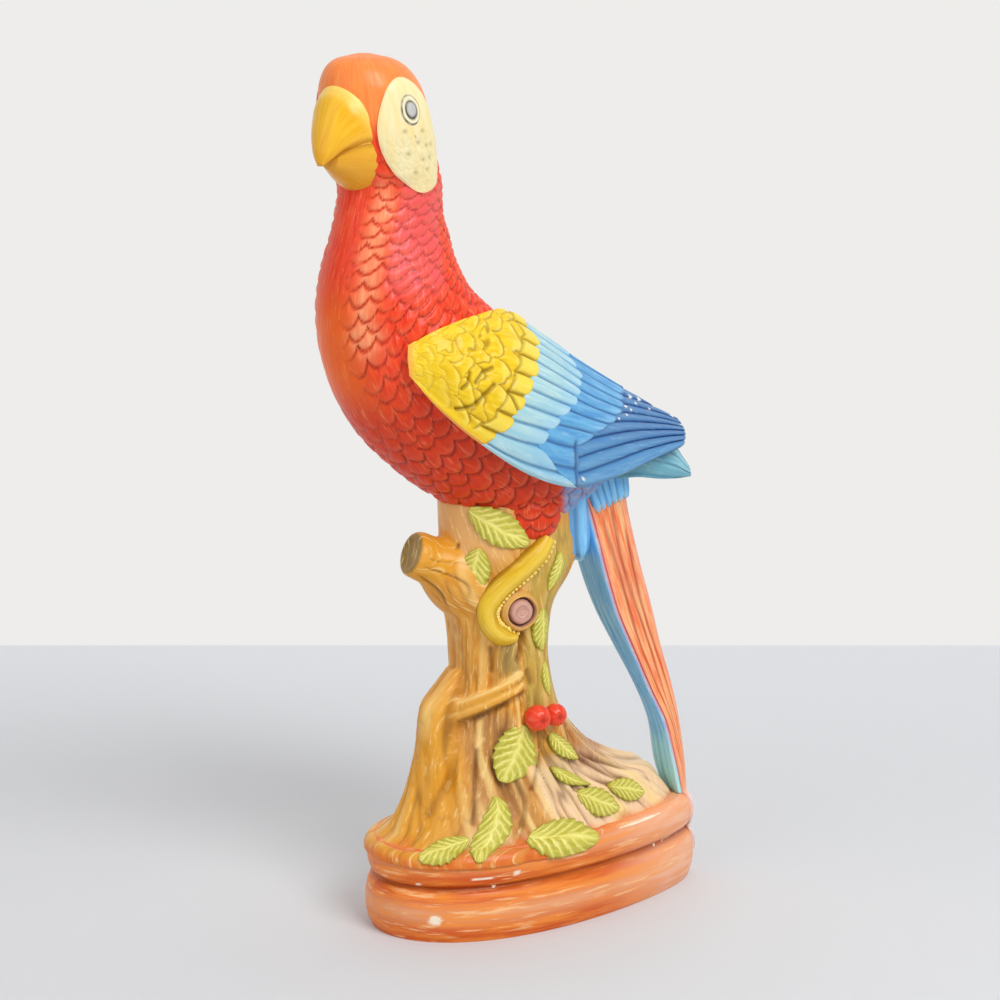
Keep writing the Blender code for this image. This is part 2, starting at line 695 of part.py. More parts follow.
def beak_rings(stations, rings, grow=0.0):
    """A beak's rings in the turned head's own plane: a round outer side and a nearly flat mouth side."""
    ahead, aside = head_axes()
    made = []
    for i in range(rings):
        outer_ahead, outer_high, mouth_ahead, mouth_high, half = catmull(stations, i / (rings - 1))
        mouth = vector(0, NECK_AXIS_Y, mouth_high) + ahead * mouth_ahead
        depth = vector(0, NECK_AXIS_Y, outer_high) + ahead * outer_ahead - mouth
        ring = []
        for k in range(BEAK_SEGMENTS):
            up, out = math.cos(2 * math.pi * k / BEAK_SEGMENTS), math.sin(2 * math.pi * k / BEAK_SEGMENTS)
            reach = up if up > 0 else MOUTH_BULGE * up
            ring.append(mouth + depth * reach + unit(depth) * grow * up + aside * (half + grow) * out)
        made.append(ring)
    made[-1] = [p + ahead * grow for p in made[-1]]
    return made


def face_place(side, height, degrees):
    """A function from a step up and a step back on the cheek to a point above the head's skin."""
    turn = math.radians(degrees)
    _, around = BODY.scale(BODY.share_at(height), turn)

    def place(up, back, lift):
        return BODY.at(BODY.share_at(height + up), side * (turn + back / around), lift)

    return place


def patch_mesh(side):
    """The bare oval of skin on one cheek."""
    place = face_place(side, *PATCH_PLACE)

    def surface(lift):
        def at(share, angle):
            edge = 1.0 - 0.55 * share**6 if lift > PATCH_SEAT else 1.0
            up, back = FACE_HALF_HEIGHT * share * math.cos(angle), FACE_HALF_WIDTH * share * math.sin(angle)
            return place(up, back, PATCH_SEAT + (lift - PATCH_SEAT) * edge)
        return at

    return pad(surface(PATCH_SEAT + PATCH_THICKNESS), surface(PATCH_SEAT), 4, 4, 20)


def eye_mesh(side):
    """A ring and a domed pupil on the cheek."""
    place = face_place(side, *EYE_PLACE)
    base = PATCH_SEAT + PATCH_THICKNESS + SEAM
    rise = {0.0: 0.0011, 0.2: 0.0010, 0.4: 0.0003, 0.6: 0.0009, 0.8: 0.0004, 1.0: 0.0008}

    def top(share, angle):
        lift = base + rise[round(share, 1)]
        return place(EYE_RADIUS * share * math.cos(angle), EYE_RADIUS * 0.86 * share * math.sin(angle), lift)

    def under(share, angle):
        return place(EYE_RADIUS * share * math.cos(angle), EYE_RADIUS * 0.86 * share * math.sin(angle), base)

    return pad(top, under, 5, 2, 14)


# Wings


def across(three, v):
    """A smooth curve through three values at v = 0, 0.5 and 1."""
    first, middle, last = (np.asarray(value, float) for value in three)
    return first * (1 - v) * (1 - 2 * v) + middle * 4 * v * (1 - v) + last * v * (2 * v - 1)


def wing_skin(u, v):
    """The wing's plain outer face."""
    lines = [catmull([station[k] for station in WING_STATIONS], u) for k in range(3)]
    return across(lines, v)


def wing_at(u, v, lift, side, grow=0.0):
    """A point off the wing's face that stays on its own side of the mirror plane, short of its seam."""
    step = 2e-3
    along = wing_skin(min(u + step, 1), v) - wing_skin(max(u - step, 0), v)
    around = wing_skin(u, v + step) - wing_skin(u, v - step)
    out = unit(np.cross(around, along))
    out = out if out[0] * 0.5 + out[2] > 0 else -out
    point = wing_skin(u, v) + out * (lift + math.copysign(grow, lift))
    point[0] = max(point[0], SEAM / 2 - grow)
    return point * vector(side, 1, 1)


def layer_edge(ends, v):
    """How far along the wing a scalloped layer reaches, or a plain line when ends is one number."""
    if isinstance(ends, float):
        return ends
    return float(across(ends, v)) + SCALLOP * (abs(math.sin(math.pi * FEATHERS_ACROSS * v)) - 0.5)


def layer_mesh(side, start, end, lift, rows, step, grow=0.0):
    """One layer of feathers between two lines across the wing, each feather with its own ridge."""
    columns = 3 * FEATHERS_ACROSS
    ridge = (0.0, step, step * 0.45)

    def along(u, v):
        first, last = layer_edge(start, v), layer_edge(end, v)
        first += LAYER_GAP if first > 0 else 0.0
        return first + u * (last - first)

    def top(u, v):
        rise = min(1.0, 0.2 + 4 * u) * (lift + ridge[round(v * columns) % 3])
        return wing_at(along(u, v), v, rise, side, grow)

    def under(u, v):
        towards_tip = max(0.0, 2 * along(u, v) - 1)
        thickness = WING_THICKNESS + (WING_TIP_THICKNESS - WING_THICKNESS) * towards_tip
        return wing_at(along(u, v), v, -thickness, side, grow)

    return plate(top, under, rows, columns)


def lobe_rings():
    """The crossed wing tips: a pointed wedge between the tail's root and the wings."""
    rings = []
    for y, low, high, half in LOBE_STATIONS:
        middle = low + 0.4 * (high - low)
        corners = ((-0.85, low), (0.85, low), (1.0, middle), (0.5, high), (-0.5, high), (-1.0, middle))
        rings.append([vector(x * half, y, z) for x, z in corners])
    return rings


# Tail


TAIL_RINGS = 13
TIP_RINGS = 4


def tail_heights(lowest=0.0):
    """Heights of the tail's rings, from its root to the plinth's top, and on down to any lowest height."""
    top, foot = TAIL_STATIONS[0][0] * PERCH_HEIGHT, PLINTH_HEIGHT + SEAM
    heights = [top + (foot - top) * k / (TAIL_RINGS - 1) for k in range(TAIL_RINGS)]
    return heights + [foot + (lowest - foot) * (k + 1) / TIP_RINGS for k in range(TIP_RINGS if lowest else 0)]


def over_plinth(x, y, z):
    """The point, pushed out so that the tail's tip lies on the plinth's end."""
    profile = plinth_profile()[:11]
    inset = np.interp(z, [height for _, height in profile], [inset for inset, _ in profile]) - TIP_RELIEF
    half = PLINTH_HALF_WIDTH * (1 - PLINTH_TAPER * min(y / PLINTH_HALF_LENGTH, 1.0))
    share = math.hypot(y / (PLINTH_HALF_LENGTH - inset), x / (half - inset))
    return (x / share, y / share) if share < 1 and z < PLINTH_HEIGHT else (x, y)


def tail_section(height):
    """The corners of the tail at a height: front corner, back ridge, and the direction square to its side."""
    low, high = 0.0, 1.0
    for _ in range(30):
        middle = (low + high) / 2
        if catmull(TAIL_STATIONS, middle)[0] * PERCH_HEIGHT > height:
            low = middle
        else:
            high = middle
    _, swing, depth, half = catmull(TAIL_STATIONS, low)
    front = RUMP_FRONT + swing * (PLINTH_HALF_LENGTH - TAIL_FOOT_INSET - RUMP_FRONT)
    corner = np.array([half, front + TAIL_FRONT_EDGE])
    ridge = np.array([SEAM / 2, front + depth])
    run = unit(ridge - corner)
    return front, corner, ridge, np.array([run[1], -run[0]])


def tail_core_rings(grow=0.0):
    """The tail's blue core: a flat front face, and sides that leave room for the red feathers."""
    rings = []
    for z in tail_heights():
        front, corner, ridge, out = tail_section(z)
        inset = TAIL_FEATHER_THICKNESS + SEAM - grow
        inner = corner[0] - inset / out[0]
        tip = ridge[1] - inset / out[1]
        edge = corner[0] + grow
        side = [(edge, front - grow), (edge, corner[1]), (inner, corner[1] + TAIL_STEP), (0.0, tip)]
        ring = [(-x, y) for x, y in side[:3]][::-1] + side[:3] + [side[3]]
        rings.append([vector(x, y, z) for x, y in ring])
    return rings


def tail_feather_rings(side, grow=0.0):
    """One red feather: a plate with two ribs from the core's front corner to the back ridge."""
    rings = []
    for z in tail_heights(TAIL_STATIONS[-1][0] * PERCH_HEIGHT):
        _, corner, ridge, out = tail_section(z)
        shares = (0.0, 0.22, 0.40, 0.58, 0.80, 1.0)
        rib = TAIL_RIB * min(1.0, (corner[0] / RIB_FADE_HALF_WIDTH) ** 2)
        bulge = (0.0, rib * 0.9, -rib * 0.2, rib, rib * 0.9, 0.0)
        start = corner + np.array([0.0, TAIL_STEP + SEAM - grow])
        outer = [start + (ridge - start) * q + out * (b + grow) for q, b in zip(shares, bulge)]
        outer = [over_plinth(x, y, z) for x, y in outer]
        thickness = min(TAIL_FEATHER_THICKNESS, TIP_THICKNESS_SHARE * corner[0]) + grow
        first = start - np.array([thickness / out[0], 0.0])
        last = np.array([SEAM / 2, ridge[1] - thickness / out[1]])
        ring = [*outer, last, (first + last) / 2, first]
        rings.append([vector(side * max(x, SEAM / 2 - grow), y, z) for x, y in ring])
    return rings


def tail_outline_rings(lift):
    """The whole tail with its ridge cut flat, grown by lift."""
    rings = []
    for z in tail_heights():
        front, corner, ridge, out = tail_section(z)
        edge, run = corner + out * lift, unit(ridge - corner)
        top = edge + run * ((ridge[1] + lift - edge[1]) / run[1])
        side = [(corner[0] + lift, front - lift), (corner[0] + lift, corner[1]), tuple(edge), tuple(top)]
        rings.append([vector(x, y, z) for x, y in side] + [vector(-x, y, z) for x, y in side[::-1]])
    return rings


def blue_coverts(stations):
    """A loft through level ovals: height, front, back, half width."""
    rows = []
    for height, front, back, half in stations:
        centre, depth = vector(0, (front + back) / 2, height), vector(0, (front - back) / 2, 0)
        rows.append((centre, depth, vector(half, 0, 0), 0.0))
    return Loft(rows)


UNDER_COVERTS = blue_coverts([
    (-0.0125, 0.0100, 0.0225, 0.0090),
    (-0.0080, 0.0040, 0.0240, 0.0135),
    (0.0000, 0.0000, 0.0245, 0.0155),
    (0.0150, -0.0020, 0.0225, 0.0180),
    (0.0330, -0.0040, 0.0200, 0.0190),
])


def tail_round(height, q, lift):
    """A point off the tail's back at a height, from its right corner at -1 to its left at 1."""
    _, corner, ridge, out = tail_section(height)
    side = 1 if q >= 0 else -1
    square = unit(out * min(1.0, 4 * abs(q)) + np.array([0.0, 1.0]) * max(0.0, 1 - 4 * abs(q)))
    x, y = corner + (ridge - corner) * (1 - abs(q)) + square * lift
    return vector(side * x if q else 0.0, y, height)


def upper_coverts_mesh():
    """The short blue feathers that wrap the tail's back under the wings, with a ragged lower edge."""
    top, low = UPPER_COVERT_HEIGHTS

    def sheet(lift):
        def at(u, v):
            ragged = 0.0022 * (-1) ** round(v * 12) + 0.004 * abs(2 * v - 1)
            height = PERCH_HEIGHT + top + u * (low + ragged - top)
            return tail_round(height, (2 * v - 1) * 0.94, lift)
        return at

    rise = TAIL_RIB + SEAM
    return plate(sheet(rise + UPPER_COVERT_THICKNESS), sheet(rise), 3, 12)


def centre_on_origin(root):
    """Moves the root so that the origin lies at the centre of the foot of the whole figurine's box."""
    bpy.context.view_layer.update()
    graph = bpy.context.evaluated_depsgraph_get()
    pieces = [made for made in bpy.context.scene.objects if made.type == "MESH" and not made.hide_render]
    corners = []
    for piece in pieces:
        seen = piece.evaluated_get(graph)
        corners += [seen.matrix_world @ Vector(corner) for corner in seen.bound_box]
    low, high = np.min(corners, axis=0), np.max(corners, axis=0)
    root.location = (-(low[0] + high[0]) / 2, -(low[1] + high[1]) / 2, -low[2])


def build():
    """Clears the scene and makes every piece."""
    for old in list(bpy.data.objects):
        bpy.data.objects.remove(old, do_unlink=True)
    root = anchor("figurine", (0, 0, 0))
    base = anchor("base", (0, 0, PLINTH_HEIGHT + SEAM), root)
    bird = anchor("bird", (0, 0, PERCH_HEIGHT), root)

    terracotta = finish("orange glaze", (0.72, 0.20, 0.06))
    bark_paint = finish("ochre bark", (0.62, 0.32, 0.08))
    leaf_green = finish("leaf green", (0.52, 0.50, 0.08))
    red = finish("scarlet", (0.75, 0.075, 0.025))
    yellow = finish("wing yellow", (0.75, 0.56, 0.05))
    beak_yellow = finish("beak yellow", (0.82, 0.45, 0.04))
    cream = finish("face cream", (0.86, 0.74, 0.42))
    grey = finish("eye grey", (0.10, 0.11, 0.12))
    light_blue = finish("light blue", (0.25, 0.55, 0.72))
    dark_blue = finish("dark blue", (0.05, 0.20, 0.50))
    berry_red = finish("berry red", (0.70, 0.03, 0.03))
    wood_core = finish("sawn wood", (0.55, 0.28, 0.20))

    body_space = cutter("space of body", skin(BODY.rings(BODY_RINGS, BODY_SEGMENTS, SEAM, SEAM)), bird)
    stump_space = cutter("space of stump", skin(STUMP.rings(STUMP_RINGS, STUMP_SEGMENTS, SEAM, SEAM)), base)
    plinth_space = cutter("space of plinth", skin(plinth_rings(PLINTH_SEGMENTS, SEAM, filled=True)), root)

    node("base_plinth", skin(plinth_rings(PLINTH_SEGMENTS), loop=True), root, terracotta)

    stump = node("tree_stump", skin(STUMP.rings(STUMP_RINGS, STUMP_SEGMENTS)), base, bark_paint)
    hollow = Loft(stump_stations())
    cut(stump, cutter("stump hollow", skin(hollow.rings(9, 12, -WALL - FLUTE_DEPTH, WALL)), base), body_space)

    body = node("body_shell", skin(BODY.rings(BODY_RINGS, BODY_SEGMENTS)), bird, red)
    vent = tube([(0, VENT_Y, -WALL), (0, VENT_Y, 3 * WALL)], [VENT_RADIUS] * 2, 16)
    cut(body, cutter("body hollow", skin(BODY.rings(12, 12, -WALL, -WALL)), bird), cutter("vent", vent, bird))

    upper_beak = node("upper_beak", skin(beak_rings(UPPER_BEAK_STATIONS, 11)), bird, beak_yellow)
    cut(upper_beak, body_space)
    beak_space = cutter("space of upper beak", skin(beak_rings(UPPER_BEAK_STATIONS, 11, SEAM)), bird)
    lower_beak = node("lower_beak", skin(beak_rings(LOWER_BEAK_STATIONS, 8)), bird, beak_yellow)
    cut(lower_beak, body_space, beak_space)

    stub = node("front_branch_stub", skin(stub_rings()), base, bark_paint)
    stub_space = cutter("space of stub", skin(stub_rings(SEAM)), base)
    cut(stub, stump_space)
    root_piece = node("front_root", skin(root_rings()), base, bark_paint)
    cut(root_piece, stump_space)
    root_space = cutter("space of root", skin(root_rings(SEAM)), base)
    twig = node("side_twig", twig_mesh(1), base, bark_paint)
    cut(twig, stump_space, root_space)

    wing_spaces, thigh_spaces, foot_spaces = [], [], []
    for side, word in ((1, "left"), (-1, "right")):
        knot = node("perch_knot_" + word, skin(knot_rings(side)), base, wood_core)
        cut(knot, stump_space)
        knot_space = cutter("space of knot " + word, skin(knot_rings(side, SEAM)), base)
        thigh_at = (vector(side, 1, 1) * THIGH_CENTRE, THIGH_RADII)
        thigh = node("thigh_" + word, ball(*thigh_at, 16, 10), bird, red)
        cut(thigh, body_space, stump_space)
        thigh_space = cutter("space of thigh " + word, ball(*thigh_at, 16, 10, SEAM), bird)
        thigh_spaces.append(thigh_space)
        foot = node("foot_" + word, toe_mesh(side), base, beak_yellow)
        cut(foot, stump_space, knot_space, thigh_space)
        foot_spaces.append(cutter("space of foot " + word, toe_mesh(side, SEAM), base))

        node("face_patch_" + word, patch_mesh(side), bird, cream)
        node("eye_" + word, eye_mesh(side), bird, grey)

        layers = (
            ("wing_coverts_", yellow, 0.0, COVERT_ENDS, COVERT_LIFT, 5),
            ("wing_secondaries_", light_blue, COVERT_ENDS, SECONDARY_ENDS, SECONDARY_LIFT, 3),
            ("flight_feathers_", dark_blue, SECONDARY_ENDS, 1.0, 0.0, 5),
        )
        for prefix, paint, first, last, lift, rows in layers:
            layer = layer_mesh(side, first, last, lift, rows, FEATHER_STEP)
            cut(node(prefix + word, layer, bird, paint), body_space)
        flight = layer_mesh(side, SECONDARY_ENDS, 1.0, 0.0, 5, FEATHER_STEP, SEAM)
        wing_spaces.append(cutter("space of flight feathers " + word, flight, bird))

    core = node("tail_core", skin(tail_core_rings()), root, light_blue)
    cut(core, body_space, stump_space)
    core_space = cutter("space of tail core", skin(tail_core_rings(SEAM)), root)
    feather_spaces = []
    for side, word in ((1, "left"), (-1, "right")):
        feather = node("tail_feather_" + word, skin(tail_feather_rings(side)), root, red)
        cut(feather, body_space, stump_space, plinth_space)
        space = skin(tail_feather_rings(side, SEAM))
        feather_spaces.append(cutter("space of tail feather " + word, space, root))

    under = node("undertail_coverts", skin(UNDER_COVERTS.rings(7, 16)), bird, light_blue)
    cut(under, body_space, stump_space, core_space, *feather_spaces)
    under_space = cutter("space of undertail coverts", skin(UNDER_COVERTS.rings(7, 16, SEAM, SEAM)), bird)
    upper = node("uppertail_coverts", upper_coverts_mesh(), root, light_blue)
    cut(upper, body_space, under_space)

    lobe = node("crossed_wing_tips", skin(lobe_rings()), bird, light_blue)
    lift = TAIL_RIB + UPPER_COVERT_THICKNESS + 3 * SEAM
    cut(lobe, body_space, cutter("space of tail root", skin(tail_outline_rings(lift)), root), *wing_spaces)

    berries = []
    for i, (share, degrees) in enumerate(BERRY_PLACES):
        centre = on_stump(share, degrees, BERRY_RADIUS * 0.75)
        round_berry = ball(centre, [BERRY_RADIUS * (1 - 0.12 * i)] * 3, 12, 8)
        berry = node(f"berry_{i + 1}", round_berry, base, berry_red)
        cut(berry, stump_space, *berries)
        berries.append(cutter(f"space of berry {i + 1}", ball(centre, [BERRY_RADIUS] * 3, 12, 8, SEAM), base))

    stem_path = [on_stump(share, degrees, BERRY_STEM_RADIUS * 0.4) for share, degrees in BERRY_STEM_PATH]
    stem = node("berry_stem", tube(stem_path, [BERRY_STEM_RADIUS] * len(stem_path), 6), base, bark_paint)
    cut(stem, stump_space, *berries)
    for name, *shape in LEAVES:
        leaf = node(name, leaf_mesh(*shape), base, leaf_green)
        if shape[0] * STUMP_HEIGHT + shape[2] > STUMP_HEIGHT:
            cut(leaf, body_space, stub_space, *thigh_spaces, *foot_spaces)
    centre_on_origin(root)


build()
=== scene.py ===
"""The looks of a slip-cast, hand-painted ceramic macaw on a tree stump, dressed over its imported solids.

Metres, +Z up. The bird looks along -Y and its left side is +X.
"""

import logging
import math
from collections.abc import Callable, Sequence
from dataclasses import dataclass, field
from enum import Enum

import bpy
import numpy as np
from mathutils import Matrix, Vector


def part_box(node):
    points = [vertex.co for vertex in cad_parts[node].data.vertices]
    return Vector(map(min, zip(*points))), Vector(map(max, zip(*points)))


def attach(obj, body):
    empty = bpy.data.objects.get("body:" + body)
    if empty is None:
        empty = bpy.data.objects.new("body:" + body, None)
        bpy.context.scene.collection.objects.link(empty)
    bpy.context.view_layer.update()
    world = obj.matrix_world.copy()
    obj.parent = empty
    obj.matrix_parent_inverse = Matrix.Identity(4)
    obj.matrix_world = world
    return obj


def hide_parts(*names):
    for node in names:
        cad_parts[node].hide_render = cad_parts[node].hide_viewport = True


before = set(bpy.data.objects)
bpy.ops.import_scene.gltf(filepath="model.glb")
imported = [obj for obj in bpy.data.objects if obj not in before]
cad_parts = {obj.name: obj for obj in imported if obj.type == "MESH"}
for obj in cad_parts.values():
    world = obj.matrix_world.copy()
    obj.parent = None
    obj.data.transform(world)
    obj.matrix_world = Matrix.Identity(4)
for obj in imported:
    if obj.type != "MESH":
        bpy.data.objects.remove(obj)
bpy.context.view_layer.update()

LOG = logging.getLogger("figurine")

Array = np.ndarray
Masks = dict[str, Array]
Piece = bpy.types.Object
Material = bpy.types.Material
Sockets = bpy.types.bpy_prop_collection
Colour = tuple[float, float, float]

PLINTH_LOW, PLINTH_HIGH = (np.array(corner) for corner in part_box("base_plinth"))
CENTRE_Y = float(PLINTH_LOW[1] + PLINTH_HIGH[1]) / 2
PLINTH_TOP = float(PLINTH_HIGH[2])
SEAM = 0.0003
STUMP_FOOT = PLINTH_TOP + SEAM
STUMP_HEIGHT = 0.130
PERCH = PLINTH_TOP + STUMP_HEIGHT
BIRD_AT = np.array([0.0, CENTRE_Y, PERCH])
STUMP_AT = np.array([0.0, CENTRE_Y, STUMP_FOOT])


# Numbers


def catmull(rows: Array, s: Array) -> Array:
    """Samples a smooth curve through all rows.

    Args:
        rows: The rows of numbers, one per station.
        s: Places along the stations, from 0 to 1.

    Returns:
        One row for each place, in the shape of s with the row's numbers last.
    """
    rows, s = np.asarray(rows, float), np.asarray(s, float)
    last = len(rows) - 1
    at = np.clip(s, 0.0, 1.0) * last
    i = np.minimum(at.astype(int), last - 1)
    t = (at - i)[..., None]
    ends = np.vstack([2 * rows[0] - rows[1], rows, 2 * rows[-1] - rows[-2]])
    p0, p1, p2, p3 = ends[i], ends[i + 1], ends[i + 2], ends[i + 3]
    cubic = 3 * p1 - p0 - 3 * p2 + p3
    return 0.5 * (2 * p1 + (p2 - p0) * t + (2 * p0 - 5 * p1 + 4 * p2 - p3) * t * t + cubic * t**3)


def ease(low: float, high: float, value: Array) -> Array:
    """Rises smoothly from 0 at low to 1 at high; falls when low is above high."""
    t = np.clip((value - low) / (high - low), 0.0, 1.0)
    return t * t * (3 - 2 * t)


def unit(vectors: Array) -> Array:
    """The vectors at length 1."""
    return vectors / np.maximum(np.linalg.norm(vectors, axis=-1, keepdims=True), 1e-12)


def bell(distance: Array, width: float) -> Array:
    """A smooth bump that is 1 where the distance is 0 and fades over the width."""
    return np.exp(-((distance / width) ** 2))


def steps(count: int) -> Array:
    """Evenly spaced shares from 0 to 1."""
    return np.linspace(0, 1, count)


def turns(count: int, start: float = 0.0) -> Array:
    """Evenly spaced angles once round."""
    return np.linspace(start, start + 2 * math.pi, count, endpoint=False)


def lattice(down: Array, across: Array) -> list[Array]:
    """Two grids of values, one that changes down the rows and one that changes across them."""
    return np.meshgrid(down, across, indexing="ij")


def halving(test: Callable[[Array], Array], shape: tuple[int, ...]) -> Array:
    """The places from 0 to 1 up to which a test holds."""
    low, high = np.zeros(shape), np.ones(shape)
    for _ in range(26):
        middle = (low + high) / 2
        held = test(middle)
        low, high = np.where(held, middle, low), np.where(held, high, middle)
    return (low + high) / 2


def near_line(points: Array, line: Array) -> Array:
    """The distance from each point to a line of straight runs, in a plane or in space."""
    best = np.full(points.shape[:-1], 9.0)
    for start, stop in zip(line, line[1:]):
        run = stop - start
        share = np.clip((points - start) @ run / (run @ run), 0.0, 1.0)
        best = np.minimum(best, np.linalg.norm(points - start - share[..., None] * run, axis=-1))
    return best


class Grain:
    """Smooth seeded noise in space, from -1 to 1."""

    SIZE = 32

    def __init__(self, seed: int) -> None:
        """Fills the lattice from the seed."""
        self.lattice = np.random.default_rng(seed).random((self.SIZE,) * 3) * 2 - 1

    def at(self, points: Array, scale: float | Sequence[float]) -> Array:
        """Samples the noise.

        Args:
            points: Places in space, coordinates last.
            scale: Lattice cells for each metre, one number or one per axis.

        Returns:
            One value for each point.
        """
        place = np.asarray(points) * np.asarray(scale, float)
        cell = np.floor(place).astype(int)
        part = place - cell
        part = part * part * (3 - 2 * part)
        total = np.zeros(place.shape[:-1])
        for corner in np.ndindex(2, 2, 2):
            weight = np.prod(np.where(np.array(corner), part, 1 - part), axis=-1)
            x, y, z = ((cell[..., k] + corner[k]) % self.SIZE for k in range(3))
            total += weight * self.lattice[x, y, z]
        return total

    def layered(self, points: Array, scale: float | Sequence[float], layers: int = 3) -> Array:
        """Noise with finer and fainter layers added."""
        scale = np.asarray(scale, float)
        weights = [0.5**k for k in range(layers)]
        return sum(w * self.at(points + 0.37 * k, scale * 2**k) for k, w in enumerate(weights)) / sum(weights)


GRAIN = Grain(8572)


@dataclass(frozen=True)
class Scales:
    """Carved feathers in overlapping rows, each row half a feather out of step with the one above."""

    reach: float = 0.62
    roundness: float = 2.1
    jitter: float = 0.13
    seed: int = 5
    wrap: int = 64

    def _tips(self, row: Array, v: Array) -> tuple[Array, Array]:
        """The tip line of a row of feathers, and a steady random number for each feather."""
        shifted = v + 0.5 * (row % 2)
        column = np.floor(shifted)
        bow = 1 - np.abs(2 * (shifted - column) - 1) ** self.roundness
        table = np.random.default_rng(self.seed).random((64, self.wrap)) * 2 - 1
        lot = table[row.astype(int) % 64, column.astype(int) % self.wrap]
        return row + self.reach * bow + self.jitter * lot, lot

    def carve(self, u: Array, v: Array) -> tuple[Array, Array, Array, Array]:
        """Lays the feathers.

        Args:
            u: Place down the rows, in rows.
            v: Place across, in feathers.

        Returns:
            The height from 0 to 1, the rim mask, the groove mask and each feather's lot.
        """
        first = np.floor(u) - 1
        row = np.full(u.shape, np.nan)
        for step in range(5):
            reached = np.isnan(row) & (self._tips(first + step, v)[0] >= u)
            row = np.where(reached, first + step, row)
        row = np.where(np.isnan(row), first + 4, row)
        tip, lot = self._tips(row, v)
        above, _ = self._tips(row - 1, v)
        share = np.clip((u - above) / np.maximum(tip - above, 0.05), 0.0, 1.0)
        height = ease(-0.1, 0.5, share) * (1 - 0.8 * ease(0.74, 1.0, share))
        rim = ease(0.55, 0.88, share) * ease(1.0, 0.94, share)
        # The groove mask is dark along each tip line, where one feather laps over the next; on the feathers
        # it is painted shadow.
        groove = np.maximum(ease(0.20, 0.0, share), ease(0.88, 1.0, share))
        return height, rim, groove, lot


# Surfaces


@dataclass
class Clay:
    """A closed surface: its points, its faces, and one value per point for each named mask."""

    points: Array
    faces: list[Sequence[int]]
    masks: Masks = field(default_factory=dict)

    @property
    def volume(self) -> float:
        """The signed volume, which is positive where the faces point outwards."""
        total = 0.0
        for size in (3, 4):
            picked = np.array([face for face in self.faces if len(face) == size])
            if len(picked):
                corners = self.points[picked]
                for k in range(1, size - 1):
                    total += np.einsum("ij,ij->", corners[:, 0], np.cross(corners[:, k], corners[:, k + 1]))
        return total / 6


def joined(parts: Sequence[Clay]) -> Clay:
    """Several closed surfaces as one, with masks that are 0 where a part has none."""
    names = {name for part in parts for name in part.masks}
    faces: list[Sequence[int]] = []
    start = 0
    for part in parts:
        turned = part.volume < 0
        for face in part.faces:
            moved = [k + start for k in face]
            faces.append(moved[::-1] if turned else moved)
        start += len(part.points)
    masks = {
        name: np.concatenate([part.masks.get(name, np.zeros(len(part.points))) for part in parts])
        for name in names
    }
    return Clay(np.concatenate([part.points for part in parts]), faces, masks)


def quads(rows: int, columns: int, start: int = 0, around: bool = False) -> list[list[int]]:
    """The faces of a grid of points that was laid out row by row.

    Args:
        rows: Rows of points.
        columns: Points in a row.
        start: Number of the first point.
        around: Whether the last column joins the first.

    Returns:
        The quads.
    """
    i, j = lattice(np.arange(rows - 1), np.arange(columns if around else columns - 1))
    n = (j + 1) % columns
    cells = np.stack(
        [i * columns + j, i * columns + n, (i + 1) * columns + n, (i + 1) * columns + j], axis=-1
    )
    return (cells.reshape(-1, 4) + start).tolist()


def sleeve(grid: Array, masks: Masks) -> Clay:
    """A closed surface through rings of points, with a point at the middle of each end."""
    rows, columns = grid.shape[:2]
    count = rows * columns
    points = np.vstack([grid.reshape(-1, 3), grid[0].mean(axis=0), grid[-1].mean(axis=0)])
    faces = quads(rows, columns, around=True)
    last = (rows - 1) * columns
    for k in range(columns):
        n = (k + 1) % columns
        faces.append([count, n, k])
        faces.append([count + 1, last + k, last + n])
    flat = {name: np.append(mask.ravel(), [mask[0].mean(), mask[-1].mean()]) for name, mask in masks.items()}
    return Clay(points, faces, flat)


def hoop(grid: Array, masks: Masks) -> Clay:
    """A closed surface through rings of points whose last ring joins the first."""
    rows, columns = grid.shape[:2]
    faces = quads(rows, columns, around=True)
    last = (rows - 1) * columns
    for k in range(columns):
        n = (k + 1) % columns
        faces.append([last + k, last + n, n, k])
    return Clay(grid.reshape(-1, 3), faces, {name: mask.ravel() for name, mask in masks.items()})


def slab(top: Array, under: Array, masks: Masks) -> Clay:
    """A closed sheet between two grids of the same shape; the underside takes the masks of the top."""
    rows, columns = top.shape[:2]
    count = rows * columns
    faces = quads(rows, columns) + [face[::-1] for face in quads(rows, columns, count)]
    rim = [(i, 0) for i in range(rows - 1)] + [(rows - 1, j) for j in range(columns - 1)]
    rim += [(rows - 1 - i, columns - 1) for i in range(rows - 1)]
    rim += [(0, columns - 1 - j) for j in range(columns - 1)]
    order = [i * columns + j for i, j in rim]
    for a, b in zip(order, order[1:] + order[:1]):
        faces.append([a, b, b + count, a + count])
    points = np.vstack([top.reshape(-1, 3), under.reshape(-1, 3)])
    return Clay(points, faces, {name: np.tile(mask.ravel(), 2) for name, mask in masks.items()})


def dish(top: Array, under: Array, masks: Masks) -> Clay:
    """A closed round pad between two grids of (rings, angles); the first ring is the middle point."""
    rings, columns = top.shape[:2]
    parts, faces = [], []
    for half, grid in enumerate((top, under)):
        start = half * (1 + (rings - 1) * columns)
        parts.append(np.vstack([grid[0, :1], grid[1:].reshape(-1, 3)]))
        for k in range(columns):
            n = (k + 1) % columns
            faces.append([start, start + 1 + k, start + 1 + n][:: 1 - 2 * half])
        faces += [face[:: 1 - 2 * half] for face in quads(rings - 1, columns, start + 1, around=True)]
    size = 1 + (rings - 1) * columns
    outer = size - columns
    for k in range(columns):
        n = (k + 1) % columns
        faces.append([outer + k, outer + size + k, outer + size + n, outer + n])
    flat = {name: np.append(mask[0, :1], mask[1:].ravel()) for name, mask in masks.items()}
    return Clay(np.vstack(parts), faces, {name: np.tile(mask, 2) for name, mask in flat.items()})


